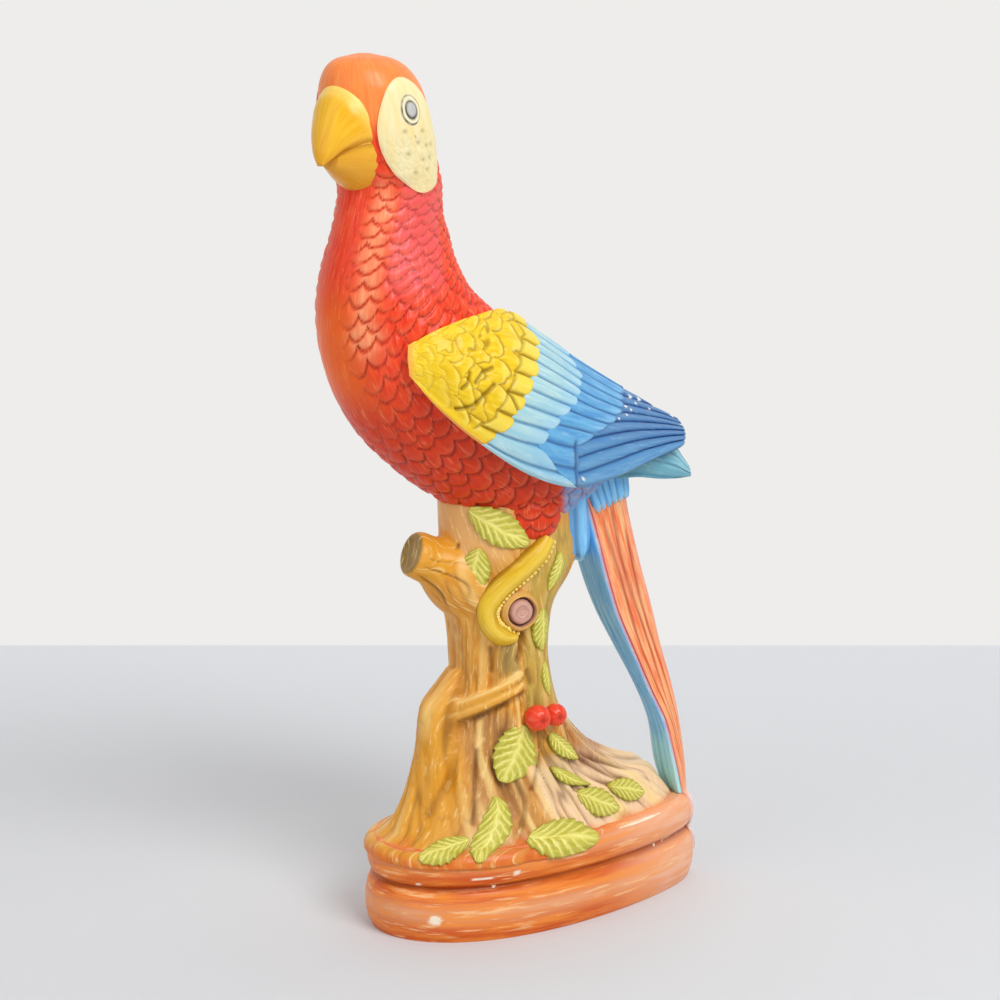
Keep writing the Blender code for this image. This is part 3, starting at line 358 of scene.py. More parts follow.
def sleeve_normals(grid: Array) -> Array:
    """The outward normals of a closed sleeve's points."""
    across = np.roll(grid, -1, axis=1) - np.roll(grid, 1, axis=1)
    normals = unit(np.cross(across, np.gradient(grid, axis=0)))
    outside = np.sum((grid - grid.mean(axis=1, keepdims=True)) * normals) > 0
    return normals * (1.0 if outside else -1.0)


def linked(name: str, data: bpy.types.ID) -> Piece:
    """A new object in the scene."""
    made = bpy.data.objects.new(name, data)
    bpy.context.scene.collection.objects.link(made)
    return made


def write_masks(mesh: bpy.types.Mesh, masks: Masks) -> None:
    """Keeps each mask as a named value per point."""
    for name, values in masks.items():
        mesh.attributes.new(name, "FLOAT", "POINT").data.foreach_set("value", values.astype(np.float32))


def vectors_of(mesh: bpy.types.Mesh, what: str) -> Array:
    """The place ("co") or the normal of each vertex."""
    flat = np.empty(len(mesh.vertices) * 3)
    mesh.vertices.foreach_get(what, flat)
    return flat.reshape(-1, 3)


def mesh_of(name: str, clay: Clay, material: Material) -> Piece:
    """Makes the object of a closed surface.

    Args:
        name: The object's name.
        clay: The surface, whichever way it faces.
        material: Its finish.

    Returns:
        The object, at the origin, with its place in its mesh.
    """
    faces = clay.faces if clay.volume > 0 else [face[::-1] for face in clay.faces]
    mesh = bpy.data.meshes.new(name)
    mesh.from_pydata(clay.points.tolist(), [], faces)
    write_masks(mesh, clay.masks)
    mesh.shade_smooth()
    mesh.materials.append(material)
    return linked(name, mesh)


def plain_copy(source: Piece, name: str) -> Piece:
    """An object with the mesh that another one's modifiers make; the other one is removed."""
    graph = bpy.context.evaluated_depsgraph_get()
    mesh = bpy.data.meshes.new_from_object(source.evaluated_get(graph))
    bpy.data.objects.remove(source)
    mesh.shade_smooth()
    return linked(name, mesh)


def settle(piece: Piece, slot: str, *nodes: str) -> Piece:
    """Puts a finished piece on the body, in place of its solids.

    Args:
        piece: The finished object.
        slot: The record's material slot; not used.
        nodes: The solids that it stands for.

    Returns:
        The piece.
    """
    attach(piece, "root")
    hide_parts(*nodes)
    LOG.info("%s: %d faces", piece.name, len(piece.data.polygons))
    return piece


class Loft:
    """A skin through oval stations: centre, vector to the front, vector to the side, and egg share."""

    def __init__(self, stations: Sequence[tuple], place: Array) -> None:
        """Takes the stations in their own frame, and where that frame lies."""
        self.rows = np.array([np.concatenate([c, d, s, [egg]]) for c, d, s, egg in stations])
        self.rows[:, :3] += place

    def point(self, s: Array, angle: Array) -> Array:
        """The skin at places along the stations and at angles from the front."""
        row = catmull(self.rows, s)
        ahead, aside = row[..., 3:6], row[..., 6:9]
        width = 1 + row[..., 9:10] * np.cos(angle)[..., None]
        return row[..., :3] + ahead * np.cos(angle)[..., None] + aside * width * np.sin(angle)[..., None]

    def normal(self, s: Array, angle: Array) -> Array:
        """The outward direction square to the skin."""
        step = 1e-3
        along = self.point(np.minimum(s + step, 1.0), angle) - self.point(np.maximum(s - step, 0.0), angle)
        around = self.point(s, angle + step) - self.point(s, angle - step)
        normal = unit(np.cross(along, around))
        away = np.sum(
            normal * (self.point(s, angle) - catmull(self.rows, s)[..., :3]), axis=-1, keepdims=True
        )
        return normal * np.where(away > 0, 1.0, -1.0)

    def share_at(self, height: Array) -> Array:
        """The place along the stations whose centre lies at a height, on stations that rise all the way."""
        return halving(lambda s: catmull(self.rows, s)[..., 2] < height, np.shape(height))

    def scale(self, s: float, angle: float) -> tuple[float, float]:
        """Metres of skin for one unit of s and for one radian at a place."""
        step = 1e-3
        s, angle = np.asarray(s, float), np.asarray(angle, float)
        along = np.linalg.norm(self.point(s + step, angle) - self.point(s - step, angle)) / (2 * step)
        around = np.linalg.norm(self.point(s, angle + step) - self.point(s, angle - step)) / (2 * step)
        return float(along), float(around)

    def moved(self, s: float, angle: float, distance: Array) -> Array:
        """The places along the stations that lie distances on from s, on the skin at one angle."""
        fine = steps(900)
        step = np.linalg.norm(np.diff(self.point(fine, np.full(900, angle)), axis=0), axis=1)
        walked = np.concatenate([[0.0], np.cumsum(step)])
        return np.interp(np.interp(s, fine, walked) + distance, walked, fine)

    def even(self, count: int) -> Array:
        """Places along the stations that are evenly spaced on the skin."""
        fine = steps(800)
        walks = [self.point(fine, np.full(800, angle)) for angle in (0.0, math.pi / 2, math.pi, -math.pi / 2)]
        strides = np.mean([np.linalg.norm(np.diff(walk, axis=0), axis=1) for walk in walks], axis=0)
        walked = np.concatenate([[0.0], np.cumsum(strides)])
        return np.interp(np.linspace(0, walked[-1], count), walked, fine)


# Finishes


def linear(colour: Colour) -> tuple[float, float, float, float]:
    """A paint as a picture's 0 to 255 shows it, in linear light."""
    share = np.asarray(colour, float) / 255
    light = np.where(share <= 0.04045, share / 12.92, ((share + 0.055) / 1.055) ** 2.4)
    return (*(float(value) for value in light), 1.0)


class Wiring:
    """Adds nodes to a tree and feeds their sockets."""

    def __init__(self, tree: bpy.types.NodeTree) -> None:
        """Takes the tree."""
        self.tree = tree

    def node(self, kind: str, feeds: dict | None = None, **settings: object) -> bpy.types.Node:
        """Adds a node.

        Args:
            kind: The node's type.
            feeds: A value or a source socket for each input, by name or number.
            settings: The node's own settings.

        Returns:
            The node.
        """
        made = self.tree.nodes.new(kind)
        for name, value in settings.items():
            setattr(made, name, value)
        for key, value in (feeds or {}).items():
            self.feed(made.inputs[key], value)
        return made

    def feed(self, socket: bpy.types.NodeSocket, value: object) -> None:
        """Links a socket, or sets it."""
        if isinstance(value, bpy.types.NodeSocket):
            self.tree.links.new(value, socket)
        else:
            socket.default_value = value

    def sum(self, operation: str, *values: object) -> bpy.types.NodeSocket:
        """The result of a Math node."""
        return self.node("ShaderNodeMath", dict(enumerate(values)), operation=operation).outputs[0]

    def times(self, first: object, second: object) -> bpy.types.NodeSocket:
        """The product of two values."""
        return self.sum("MULTIPLY", first, second)

    def mask(self, name: str) -> bpy.types.NodeSocket:
        """A mask of the piece, which is 0 where the piece has none of that name."""
        return self.node("ShaderNodeAttribute", attribute_name=name).outputs["Fac"]

    def blend(self, share: object, under: object, over: object) -> bpy.types.NodeSocket:
        """The result of a colour mix."""
        mix = self.node("ShaderNodeMix", {0: share, 6: under, 7: over}, data_type="RGBA", clamp_factor=True)
        return mix.outputs[2]

    def between(self, value: object, low: float, high: float) -> bpy.types.NodeSocket:
        """The value, spread smoothly so that low gives 0 and high gives 1."""
        feeds = {"Value": value, "From Min": low, "From Max": high}
        return self.node("ShaderNodeMapRange", feeds, interpolation_type="SMOOTHSTEP").outputs["Result"]


FLOAT, COLOUR = "NodeSocketFloat", "NodeSocketColor"


def shader_group(
    name: str, inputs: dict[str, str], outputs: dict[str, str]
) -> tuple[Wiring, Sockets, Sockets]:
    """A new shader group with its sockets.

    Args:
        name: The group's name.
        inputs: Socket type for each input's name.
        outputs: Socket type for each output's name.

    Returns:
        Its wiring, the sockets that it is given and the sockets that it gives.
    """
    tree = bpy.data.node_groups.new(name, "ShaderNodeTree")
    for label, kind in inputs.items():
        tree.interface.new_socket(label, in_out="INPUT", socket_type=kind)
    for label, kind in outputs.items():
        tree.interface.new_socket(label, in_out="OUTPUT", socket_type=kind)
    wiring = Wiring(tree)
    return wiring, wiring.node("NodeGroupInput").outputs, wiring.node("NodeGroupOutput").inputs


def stroke_group() -> bpy.types.NodeTree:
    """Brush strokes that follow the piece's flow, sparse finer streaks, and an even grain."""
    wiring, given, out = shader_group(
        "brush_strokes",
        {"Along": FLOAT, "Across": FLOAT, "Fineness": FLOAT},
        {"Strokes": FLOAT, "Streaks": FLOAT, "Grain": FLOAT},
    )
    along = wiring.times(given["Along"], 0.14)
    for label, shift, finer, low, high in (
        ("Strokes", 0.0, 1.0, 0.36, 0.64), ("Streaks", 3.7, 2.2, 0.54, 0.70)
    ):
        across = wiring.sum("ADD", given["Across"], shift)
        place = wiring.node("ShaderNodeCombineXYZ", {0: along, 1: across, 2: shift})
        scale = wiring.times(given["Fineness"], finer)
        feeds = {"Vector": place.outputs[0], "Scale": scale, "Detail": 4.0, "Roughness": 0.6}
        noise = wiring.node("ShaderNodeTexNoise", feeds)
        wiring.feed(out[label], wiring.between(noise.outputs[0], low, high))
    coordinates = wiring.node("ShaderNodeTexCoord")
    grain = wiring.node(
        "ShaderNodeTexNoise",
        {"Vector": coordinates.outputs["Object"], "Scale": 900.0, "Detail": 3.0, "Roughness": 0.55},
    )
    wiring.feed(out["Grain"], grain.outputs[0])
    return wiring.tree


def coat_group() -> bpy.types.NodeTree:
    """One coat of paint over another, thinned where the brush skipped."""
    wiring, given, out = shader_group(
        "dry_brush",
        {
            "Under": COLOUR, "Over": COLOUR,
            "Mask": FLOAT, "Strength": FLOAT, "Broken": FLOAT, "Strokes": FLOAT,
        },
        {"Color": COLOUR},
    )
    skipped = wiring.times(given["Broken"], given["Strokes"])
    left = wiring.sum("SUBTRACT", 1.0, skipped)
    share = wiring.times(wiring.times(given["Mask"], left), given["Strength"])
    wiring.feed(out["Color"], wiring.blend(share, given["Under"], given["Over"]))
    return wiring.tree


def varnish_group() -> bpy.types.NodeTree:
    """Chips down to the cream bisque, patchy gloss, and the height of strokes, grain and chips."""
    wiring, given, out = shader_group(
        "worn_varnish",
        {"Color": COLOUR, "Bisque": COLOUR, "Wear": FLOAT, "Gloss": FLOAT, "Strokes": FLOAT, "Grain": FLOAT},
        {"Color": COLOUR, "Roughness": FLOAT, "Height": FLOAT},
    )
    coordinates = wiring.node("ShaderNodeTexCoord")
    feeds = {"Vector": coordinates.outputs["Object"], "Scale": 210.0, "Detail": 2.0}
    spots = wiring.node("ShaderNodeTexNoise", feeds)
    lifted = wiring.sum("ADD", spots.outputs[0], wiring.times(given["Wear"], 0.5))
    chip = wiring.between(lifted, 0.80, 0.84)
    wiring.feed(out["Color"], wiring.blend(chip, given["Color"], given["Bisque"]))
    patchy = wiring.sum("MULTIPLY_ADD", given["Strokes"], 0.14, wiring.sum("SUBTRACT", given["Gloss"], 0.07))
    wiring.feed(out["Roughness"], wiring.sum("MULTIPLY_ADD", chip, 0.3, patchy))
    relief = wiring.sum("MULTIPLY_ADD", given["Grain"], 0.35, wiring.times(given["Strokes"], 0.65))
    wiring.feed(out["Height"], wiring.sum("MULTIPLY_ADD", chip, -0.8, relief))
    return wiring.tree


@dataclass(frozen=True)
class Coat:
    """One brushed colour, laid where a mask is strong; some coats are painted highlights and some painted
    shade.
    """

    mask: str
    colour: Colour
    strength: float = 1.0
    broken: float = 0.35


@dataclass(frozen=True)
class Paint:
    """A hand-painted, varnished finish: two tones in strokes, then its coats."""

    name: str
    slot: str
    colour: Colour
    varied: Colour
    coats: tuple[Coat, ...] = ()
    streak: Colour = (255, 220, 180)
    streak_share: float = 0.3
    fineness: float = 420.0
    roughness: float = 0.40
    coat_weight: float = 0.12
    bump: float = 0.25

    def material(self) -> Material:
        """The finish as a material, made once."""
        found = bpy.data.materials.get(self.name)
        if found:
            return found
        made = bpy.data.materials.new(self.name)
        made.use_nodes = True
        wiring = Wiring(made.node_tree)
        shader = made.node_tree.nodes["Principled BSDF"]
        flow = [wiring.mask(name) for name in ("flow_u", "flow_v")]
        feeds = {"Along": flow[0], "Across": flow[1], "Fineness": self.fineness}
        strokes = self._use(wiring, "brush_strokes", stroke_group, feeds)
        colour = wiring.blend(strokes.outputs["Strokes"], linear(self.colour), linear(self.varied))
        for coat in self.coats:
            mask = wiring.mask(coat.mask)
            feeds = {
                "Under": colour, "Over": linear(coat.colour), "Mask": mask, "Strength": coat.strength,
                "Broken": coat.broken, "Strokes": strokes.outputs["Strokes"],
            }
            colour = self._use(wiring, "dry_brush", coat_group, feeds).outputs["Color"]
        sunk = wiring.mask("groove")
        raised = wiring.times(wiring.sum("SUBTRACT", 1.0, sunk), self.streak_share)
        share = wiring.times(strokes.outputs["Streaks"], raised)
        colour = wiring.blend(share, colour, linear(self.streak))
        wear = wiring.mask("wear")
        feeds = {
            "Color": colour, "Bisque": linear(BISQUE), "Wear": wear, "Gloss": self.roughness,
            "Strokes": strokes.outputs["Strokes"], "Grain": strokes.outputs["Grain"],
        }
        varnish = self._use(wiring, "worn_varnish", varnish_group, feeds)
        wiring.feed(shader.inputs["Base Color"], varnish.outputs["Color"])
        wiring.feed(shader.inputs["Roughness"], varnish.outputs["Roughness"])
        bump = wiring.node(
            "ShaderNodeBump", {"Height": varnish.outputs["Height"], "Strength": self.bump, "Distance": 0.0002}
        )
        wiring.feed(shader.inputs["Normal"], bump.outputs[0])
        shader.inputs["Metallic"].default_value = 0.0
        shader.inputs["Coat Weight"].default_value = self.coat_weight
        shader.inputs["Coat Roughness"].default_value = 0.2
        shader.inputs["Specular IOR Level"].default_value = 0.22
        return made

    def dress(self, name: str, clay: Clay, *nodes: str) -> Piece:
        """Paints a closed surface and puts it in the place of its solids.

        Args:
            name: The piece's name before the word for its glaze.
            clay: The surface.
            nodes: The solids that it stands for, where they aren't called by the same name.

        Returns:
            The finished piece.
        """
        return settle(mesh_of(name + "_glazed", clay, self.material()), self.slot, *(nodes or (name,)))

    @staticmethod
    def _use(
        wiring: Wiring, name: str, maker: Callable[[], bpy.types.NodeTree], feeds: dict
    ) -> bpy.types.Node:
        """A group node of the shared group, which is made the first time."""
        group = bpy.data.node_groups.get(name) or maker()
        used = wiring.node("ShaderNodeGroup")
        used.node_tree = group
        for label, value in feeds.items():
            wiring.feed(used.inputs[label], value)
        return used


BISQUE: Colour = (250, 232, 205)

SCARLET = Paint(
    "scarlet_glaze", "scarlet", (230, 48, 20), (240, 76, 34),
    (
        Coat("belly", (212, 54, 10), 0.9, 0.3),
        Coat("orange", (248, 108, 24), 0.95, 0.25),
        Coat("pink", (235, 98, 104), 0.78, 0.35),
        Coat("crown", (250, 148, 70), 0.95, 0.3),
        Coat("rim", (250, 116, 72), 0.5, 0.6),
        Coat("light", (255, 172, 122), 0.85, 0.45),
        Coat("rump", (104, 182, 236), 0.97, 0.3),
        # Painted shadow along the carved feather tips.
        Coat("groove", (128, 16, 8), 0.9, 0.1),
    ),
    streak=(255, 160, 110), streak_share=0.35,
)
BEAK = Paint(
    "beak_glaze", "beak_yellow", (238, 176, 30), (244, 190, 48),
    (
        Coat("amber", (236, 148, 26), 0.95, 0.4),
        Coat("cere", (253, 224, 128), 0.9, 0.3),
        # The lower half's own colour, deepened towards its underside as painted shade.
        Coat("under", (232, 164, 44), 0.8, 0.3),
        # Painted shadow along the mouth line, and the nostril's dark slit.
        Coat("groove", (150, 92, 22), 0.85, 0.1),
    ),
    streak=(255, 224, 120), streak_share=0.12, fineness=260.0, roughness=0.30,
)
CREAM = Paint(
    "face_glaze", "face_cream", (243, 229, 178), (242, 221, 156),
    (Coat("groove", (188, 176, 122), 0.8, 0.1), Coat("rim", (250, 205, 150), 0.6, 0.3)),
    streak=(250, 240, 208), fineness=260.0,
)
EYE = Paint(
    "eye_glaze", "eye_grey", (250, 240, 202), (246, 234, 194),
    (Coat("core", (190, 190, 188), 1.0, 0.1), Coat("ink", (30, 34, 32), 1.0, 0.15)),
    streak_share=0.0, roughness=0.22,
)
YELLOW = Paint(
    "wing_yellow_glaze", "wing_yellow", (232, 190, 14), (242, 206, 36),
    (
        Coat("low", (212, 166, 18), 0.8, 0.3),
        Coat("rim", (254, 238, 116), 0.75, 0.4),
        Coat("blush", (250, 160, 90), 0.8, 0.4),
        Coat("groove", (136, 102, 10), 0.85, 0.1),
    ),
    streak=(255, 242, 150), streak_share=0.25,
)
LIGHT_BLUE = Paint(
    "light_blue_glaze", "light_blue", (184, 216, 216), (158, 204, 216),
    (
        Coat("deep", (116, 182, 222), 0.9, 0.4),
        Coat("rim", (214, 238, 238), 0.4, 0.5),
        Coat("groove", (62, 110, 152), 0.75, 0.15),
    ),
    streak=(226, 242, 240), streak_share=0.4,
)
DARK_BLUE = Paint(
    "dark_blue_glaze", "dark_blue", (108, 176, 218), (84, 152, 206),
    (
        Coat("primary", (38, 78, 144), 0.95, 0.35),
        Coat("rim", (160, 206, 234), 0.5, 0.5),
        Coat("groove", (34, 62, 126), 0.8, 0.15),
        Coat("bare", (246, 236, 224), 1.0, 0.0),
    ),
    streak=(170, 212, 236), streak_share=0.35,
)
TEAL = Paint(
    "teal_glaze", "light_blue", (142, 198, 210), (108, 172, 194),
    (Coat("groove", (66, 116, 138), 0.8, 0.2), Coat("deep", (84, 146, 168), 0.8, 0.4)),
    streak=(200, 228, 226),
)
TAIL_BLUE = Paint(
    "tail_blue_glaze", "light_blue", (146, 214, 255), (116, 194, 250),
    (
        Coat("foot", (176, 242, 248), 0.95, 0.3),
        Coat("edge", (240, 112, 74), 0.95, 0.2),
        Coat("rim", (200, 230, 236), 0.7, 0.4),
        Coat("groove", (52, 106, 168), 0.7, 0.2),
    ),
    streak=(186, 220, 232), streak_share=0.4,
)
TAIL_RED = Paint(
    "tail_red_glaze", "scarlet", (248, 118, 60), (255, 188, 128),
    (
        Coat("pink", (248, 160, 140), 0.9, 0.4),
        Coat("groove", (168, 44, 26), 0.7, 0.15),
        Coat("bare", (244, 228, 226), 0.9, 0.35),
    ),
    streak=(255, 204, 156), streak_share=0.6, fineness=300.0,
)
BARK = Paint(
    "bark_glaze", "bark", (218, 144, 44), (232, 168, 72),
    (
        Coat("smooth", (228, 176, 116), 0.85, 0.3),
        Coat("orange", (228, 158, 38), 0.85, 0.4),
        Coat("tan", (188, 134, 84), 0.85, 0.35),
        Coat("mauve", (255, 222, 184), 0.95, 0.3),
        Coat("olive", (192, 168, 76), 0.85, 0.35),
        Coat("russet", (168, 104, 66), 0.8, 0.4),
        Coat("grey", (152, 134, 76), 0.85, 0.35),
        # Painted highlights on the bark's ridges and the twig's top.
        Coat("rim", (254, 220, 140), 0.9, 0.35),
        Coat("end", (126, 104, 48), 0.95, 0.25),
        Coat("brushed", (226, 108, 38), 0.95, 0.45),
        # Painted shade in the slits and grooves, in the stub's wrinkles and under the twig.
        Coat("groove", (108, 62, 20), 0.85, 0.1),
    ),
    streak=(252, 222, 150), streak_share=0.65,
)
SAWN = Paint(
    "sawn_glaze", "sawn_wood", (216, 168, 150), (204, 150, 132),
    (Coat("rim", (224, 172, 84), 1.0, 0.2), Coat("groove", (98, 56, 32), 0.95, 0.05)),
    streak=(234, 196, 170),
)
TOE = Paint(
    "toe_glaze", "beak_yellow", (212, 162, 24), (232, 190, 46),
    (
        # Painted highlight along the band's middle.
        Coat("light", (246, 212, 84), 0.8, 0.5),
        # Painted shade at the band's sides.
        Coat("groove", (150, 98, 22), 0.8, 0.3),
        Coat("rim", (252, 226, 120), 0.85, 0.2),
    ),
    streak=(252, 226, 120), streak_share=0.5,
)
LEAF = Paint(
    "leaf_glaze", "leaf_green", (192, 184, 58), (210, 202, 84),
    (Coat("rim", (250, 240, 144), 0.9, 0.35), Coat("groove", (138, 130, 40), 0.7, 0.25)),
    streak=(246, 236, 130), streak_share=0.5,
)
BERRY = Paint(
    "berry_glaze", "berry_red", (234, 58, 34), (242, 84, 52), (Coat("groove", (150, 24, 14), 0.8, 0.2),),
    streak_share=0.1, roughness=0.2,
)
ORANGE = Paint(
    "brushed_orange_glaze", "plinth_glaze", (216, 88, 16), (244, 142, 52),
    (
        Coat("rim", (248, 196, 146), 0.6, 0.75),
        Coat("pale", (250, 192, 156), 0.85, 0.55),
        Coat("groove", (150, 58, 16), 0.8, 0.15),
        Coat("bare", (250, 236, 214), 1.0, 0.0),
    ),
    streak=(254, 206, 150), streak_share=0.7, fineness=260.0,
)


class Side(Enum):
    """The two sides of the bird, by the sign of X."""

    LEFT = 1
    RIGHT = -1

    @property
    def word(self) -> str:
        """The side's word in a node's name."""
        return self.name.lower()


# Plinth and stump

PLINTH_HALF_LENGTH = 0.0825
PLINTH_HALF_WIDTH = 0.039
PLINTH_TAPER = 0.30
PLINTH_HEIGHT = 0.041
LOWER_TIER_HEIGHT = 0.024
GROOVE_DEPTH = 0.0045
SHOULDER_INSET = 0.0065
FOOT_INSET = 0.0025
MOUTH_INSET = 0.020
FOOT_RIM_WIDTH = 0.006
WALL = 0.0045
SOCKET_REACH = 0.019
TRUNK_FRONT = 0.0410
TRUNK_BACK = 0.0035
TRUNK_HALF_WIDTH = 0.0215
FLARE_MARGIN = 0.0095
SIDE_FLARE_MARGIN = 0.0055

# Share of the stump's height, flare of the front, the back and the sides, share of the plinth's egg shape
STUMP_FLARE = [
    (0.000, 1.090, 0.960, 1.000, 1.00), (0.050, 0.800, 0.890, 0.790, 0.80),
    (0.100, 0.640, 0.825, 0.620, 0.65), (0.132, 0.560, 0.760, 0.550, 0.50),
    (0.162, 0.490, 0.590, 0.481, 0.40), (0.217, 0.340, 0.390, 0.360, 0.25),
    (0.280, 0.220, 0.240, 0.270, 0.10), (0.354, 0.110, 0.125, 0.180, 0.00),
    (0.432, 0.050, 0.060, 0.110, 0.00), (0.520, 0.000, 0.020, 0.040, 0.00),
    (0.600, 0.000, 0.000, 0.000, 0.00), (0.690, 0.030, 0.010, 0.000, 0.00),
    (0.770, 0.090, 0.040, 0.040, 0.00), (0.862, 0.130, 0.150, 0.111, 0.00),
    (0.920, 0.150, 0.200, 0.160, 0.00), (0.962, 0.160, 0.200, 0.185, 0.00),
    (1.000, 0.175, 0.180, 0.185, 0.00),
]

# The bark's lowest folds, which lap over the plinth's shoulder: height from its top, inset from its outline
SKIRT = [(-0.0076, -0.0002), (-0.0044, 0.0002), (-0.0016, 0.0022)]
SKIRT_BACK = 0.070

STUB_RADIUS = 0.0100
STUB_REACH = 0.0225
STUB_SHARE = 0.915
STUB_RISE = math.radians(21)
ROOT_HALF_WIDTH = 0.017
KNOT_RADIUS = 0.0072
KNOT_REACH = 0.0045
KNOT_PLACE = (0.7808, 87)
TWIG_RADIUS = 0.0036
TWIG_PATH = [(0.392, -6), (0.418, 14), (0.452, 34), (0.500, 62), (0.545, 90)]
TWIG_LIFT = 0.0022
TWIG_DROPS = (-0.014, 0.022)
TOE_RADIUS = 0.0038
TOE_PATH = [
    (1.020, 105), (0.975, 95), (0.915, 78), (0.854, 63), (0.792, 55), (0.731, 59), (0.696, 71), (0.688, 85),
]
BERRY_RADIUS = 0.0058
BERRY_PLACES = [(0.4077, 97), (0.4, 117)]
BERRY_STEM_RADIUS = 0.0012
BERRY_STEM_PATH = [(0.3769, 107), (0.3577, 108), (0.3385, 108)]
LEAF_THICKNESS = 0.0018

# Name, share of the stump's height, turn, length, width, and the tip's turn from straight down to the back
LEAVES = [
    ("leaf_under_belly", 1.0700, 62, 0.030, 0.0150, 58),
    ("leaf_beside_stub", 0.9200, 41, 0.021, 0.0130, -12),
    ("leaf_behind_foot", 0.9, 115, 0.017, 0.008, -8),
    ("leaf_behind_knot", 0.7, 118, 0.019, 0.011, 5),
    ("leaf_at_waist", 0.5231, 124, 0.016, 0.006, 0),
    ("leaf_under_berries", 0.2900, 74, 0.028, 0.0185, -28),
    ("leaf_behind_berries", 0.2800, 116, 0.018, 0.0100, 18),
    ("leaf_on_mound", 0.1750, 102, 0.018, 0.009, 22),
    ("leaf_low_1", -0.004, 40, 0.020, 0.0160, -50),
    ("leaf_low_2", 0.040, 57, 0.033, 0.0155, 0),
    ("leaf_low_3", -0.008, 89, 0.041, 0.0190, 76),
    ("leaf_low_4", 0.080, 106, 0.024, 0.0130, 60),
    ("leaf_low_5", 0.090, 125, 0.021, 0.012, 66),
    ("leaf_far_belly", 1.0700, -62, 0.030, 0.0150, -58),
    ("leaf_far_knot", 0.7, -118, 0.019, 0.011, -5),
    ("leaf_far_side", 0.2769, -78, 0.025, 0.018, 22),
    ("leaf_far_low", 0.040, -88, 0.027, 0.017, -70),
]


def stump_loft() -> Loft:
    """The trunk's plain skin, in the row frame."""
    edge, edge_half = PLINTH_HALF_LENGTH - FLARE_MARGIN, PLINTH_HALF_WIDTH - SIDE_FLARE_MARGIN
    stations = []
    for rise, inset in SKIRT:
        length = (PLINTH_HALF_LENGTH - inset + SKIRT_BACK) / 2
        half = PLINTH_HALF_WIDTH - inset
        stations.append(((0, SKIRT_BACK - length, rise), (0, -length, 0), (half, 0, 0), PLINTH_TAPER))
    for height, front, back, side, egg in STUMP_FLARE:
        y_front = -(TRUNK_FRONT + front * (edge - TRUNK_FRONT))
        y_back = TRUNK_BACK + back * (edge - TRUNK_BACK)
        half = TRUNK_HALF_WIDTH + side * (edge_half - TRUNK_HALF_WIDTH)
        rise = height * STUMP_HEIGHT + (SOCKET_REACH if height == 1.0 else 0.0)
        depth = (0.0, (y_front - y_back) / 2, 0.0)
        stations.append(((0.0, (y_front + y_back) / 2, rise), depth, (half, 0.0, 0.0), egg * PLINTH_TAPER))
    return Loft(stations, STUMP_AT)


def tube(path: Array, radii: Array, segments: int, masks: Masks | None = None) -> Clay:
    """A closed round rod along a path."""
    along = unit(np.gradient(path, axis=0))
    across = unit(np.cross(along, np.array([0.1, 0.2, 1.0])))
    other = np.cross(along, across)
    turn = turns(segments)[None, :, None]
    ring = across[:, None] * np.cos(turn) + other[:, None] * np.sin(turn)
    return sleeve(path[:, None] + ring * np.asarray(radii)[:, None, None], masks or {})


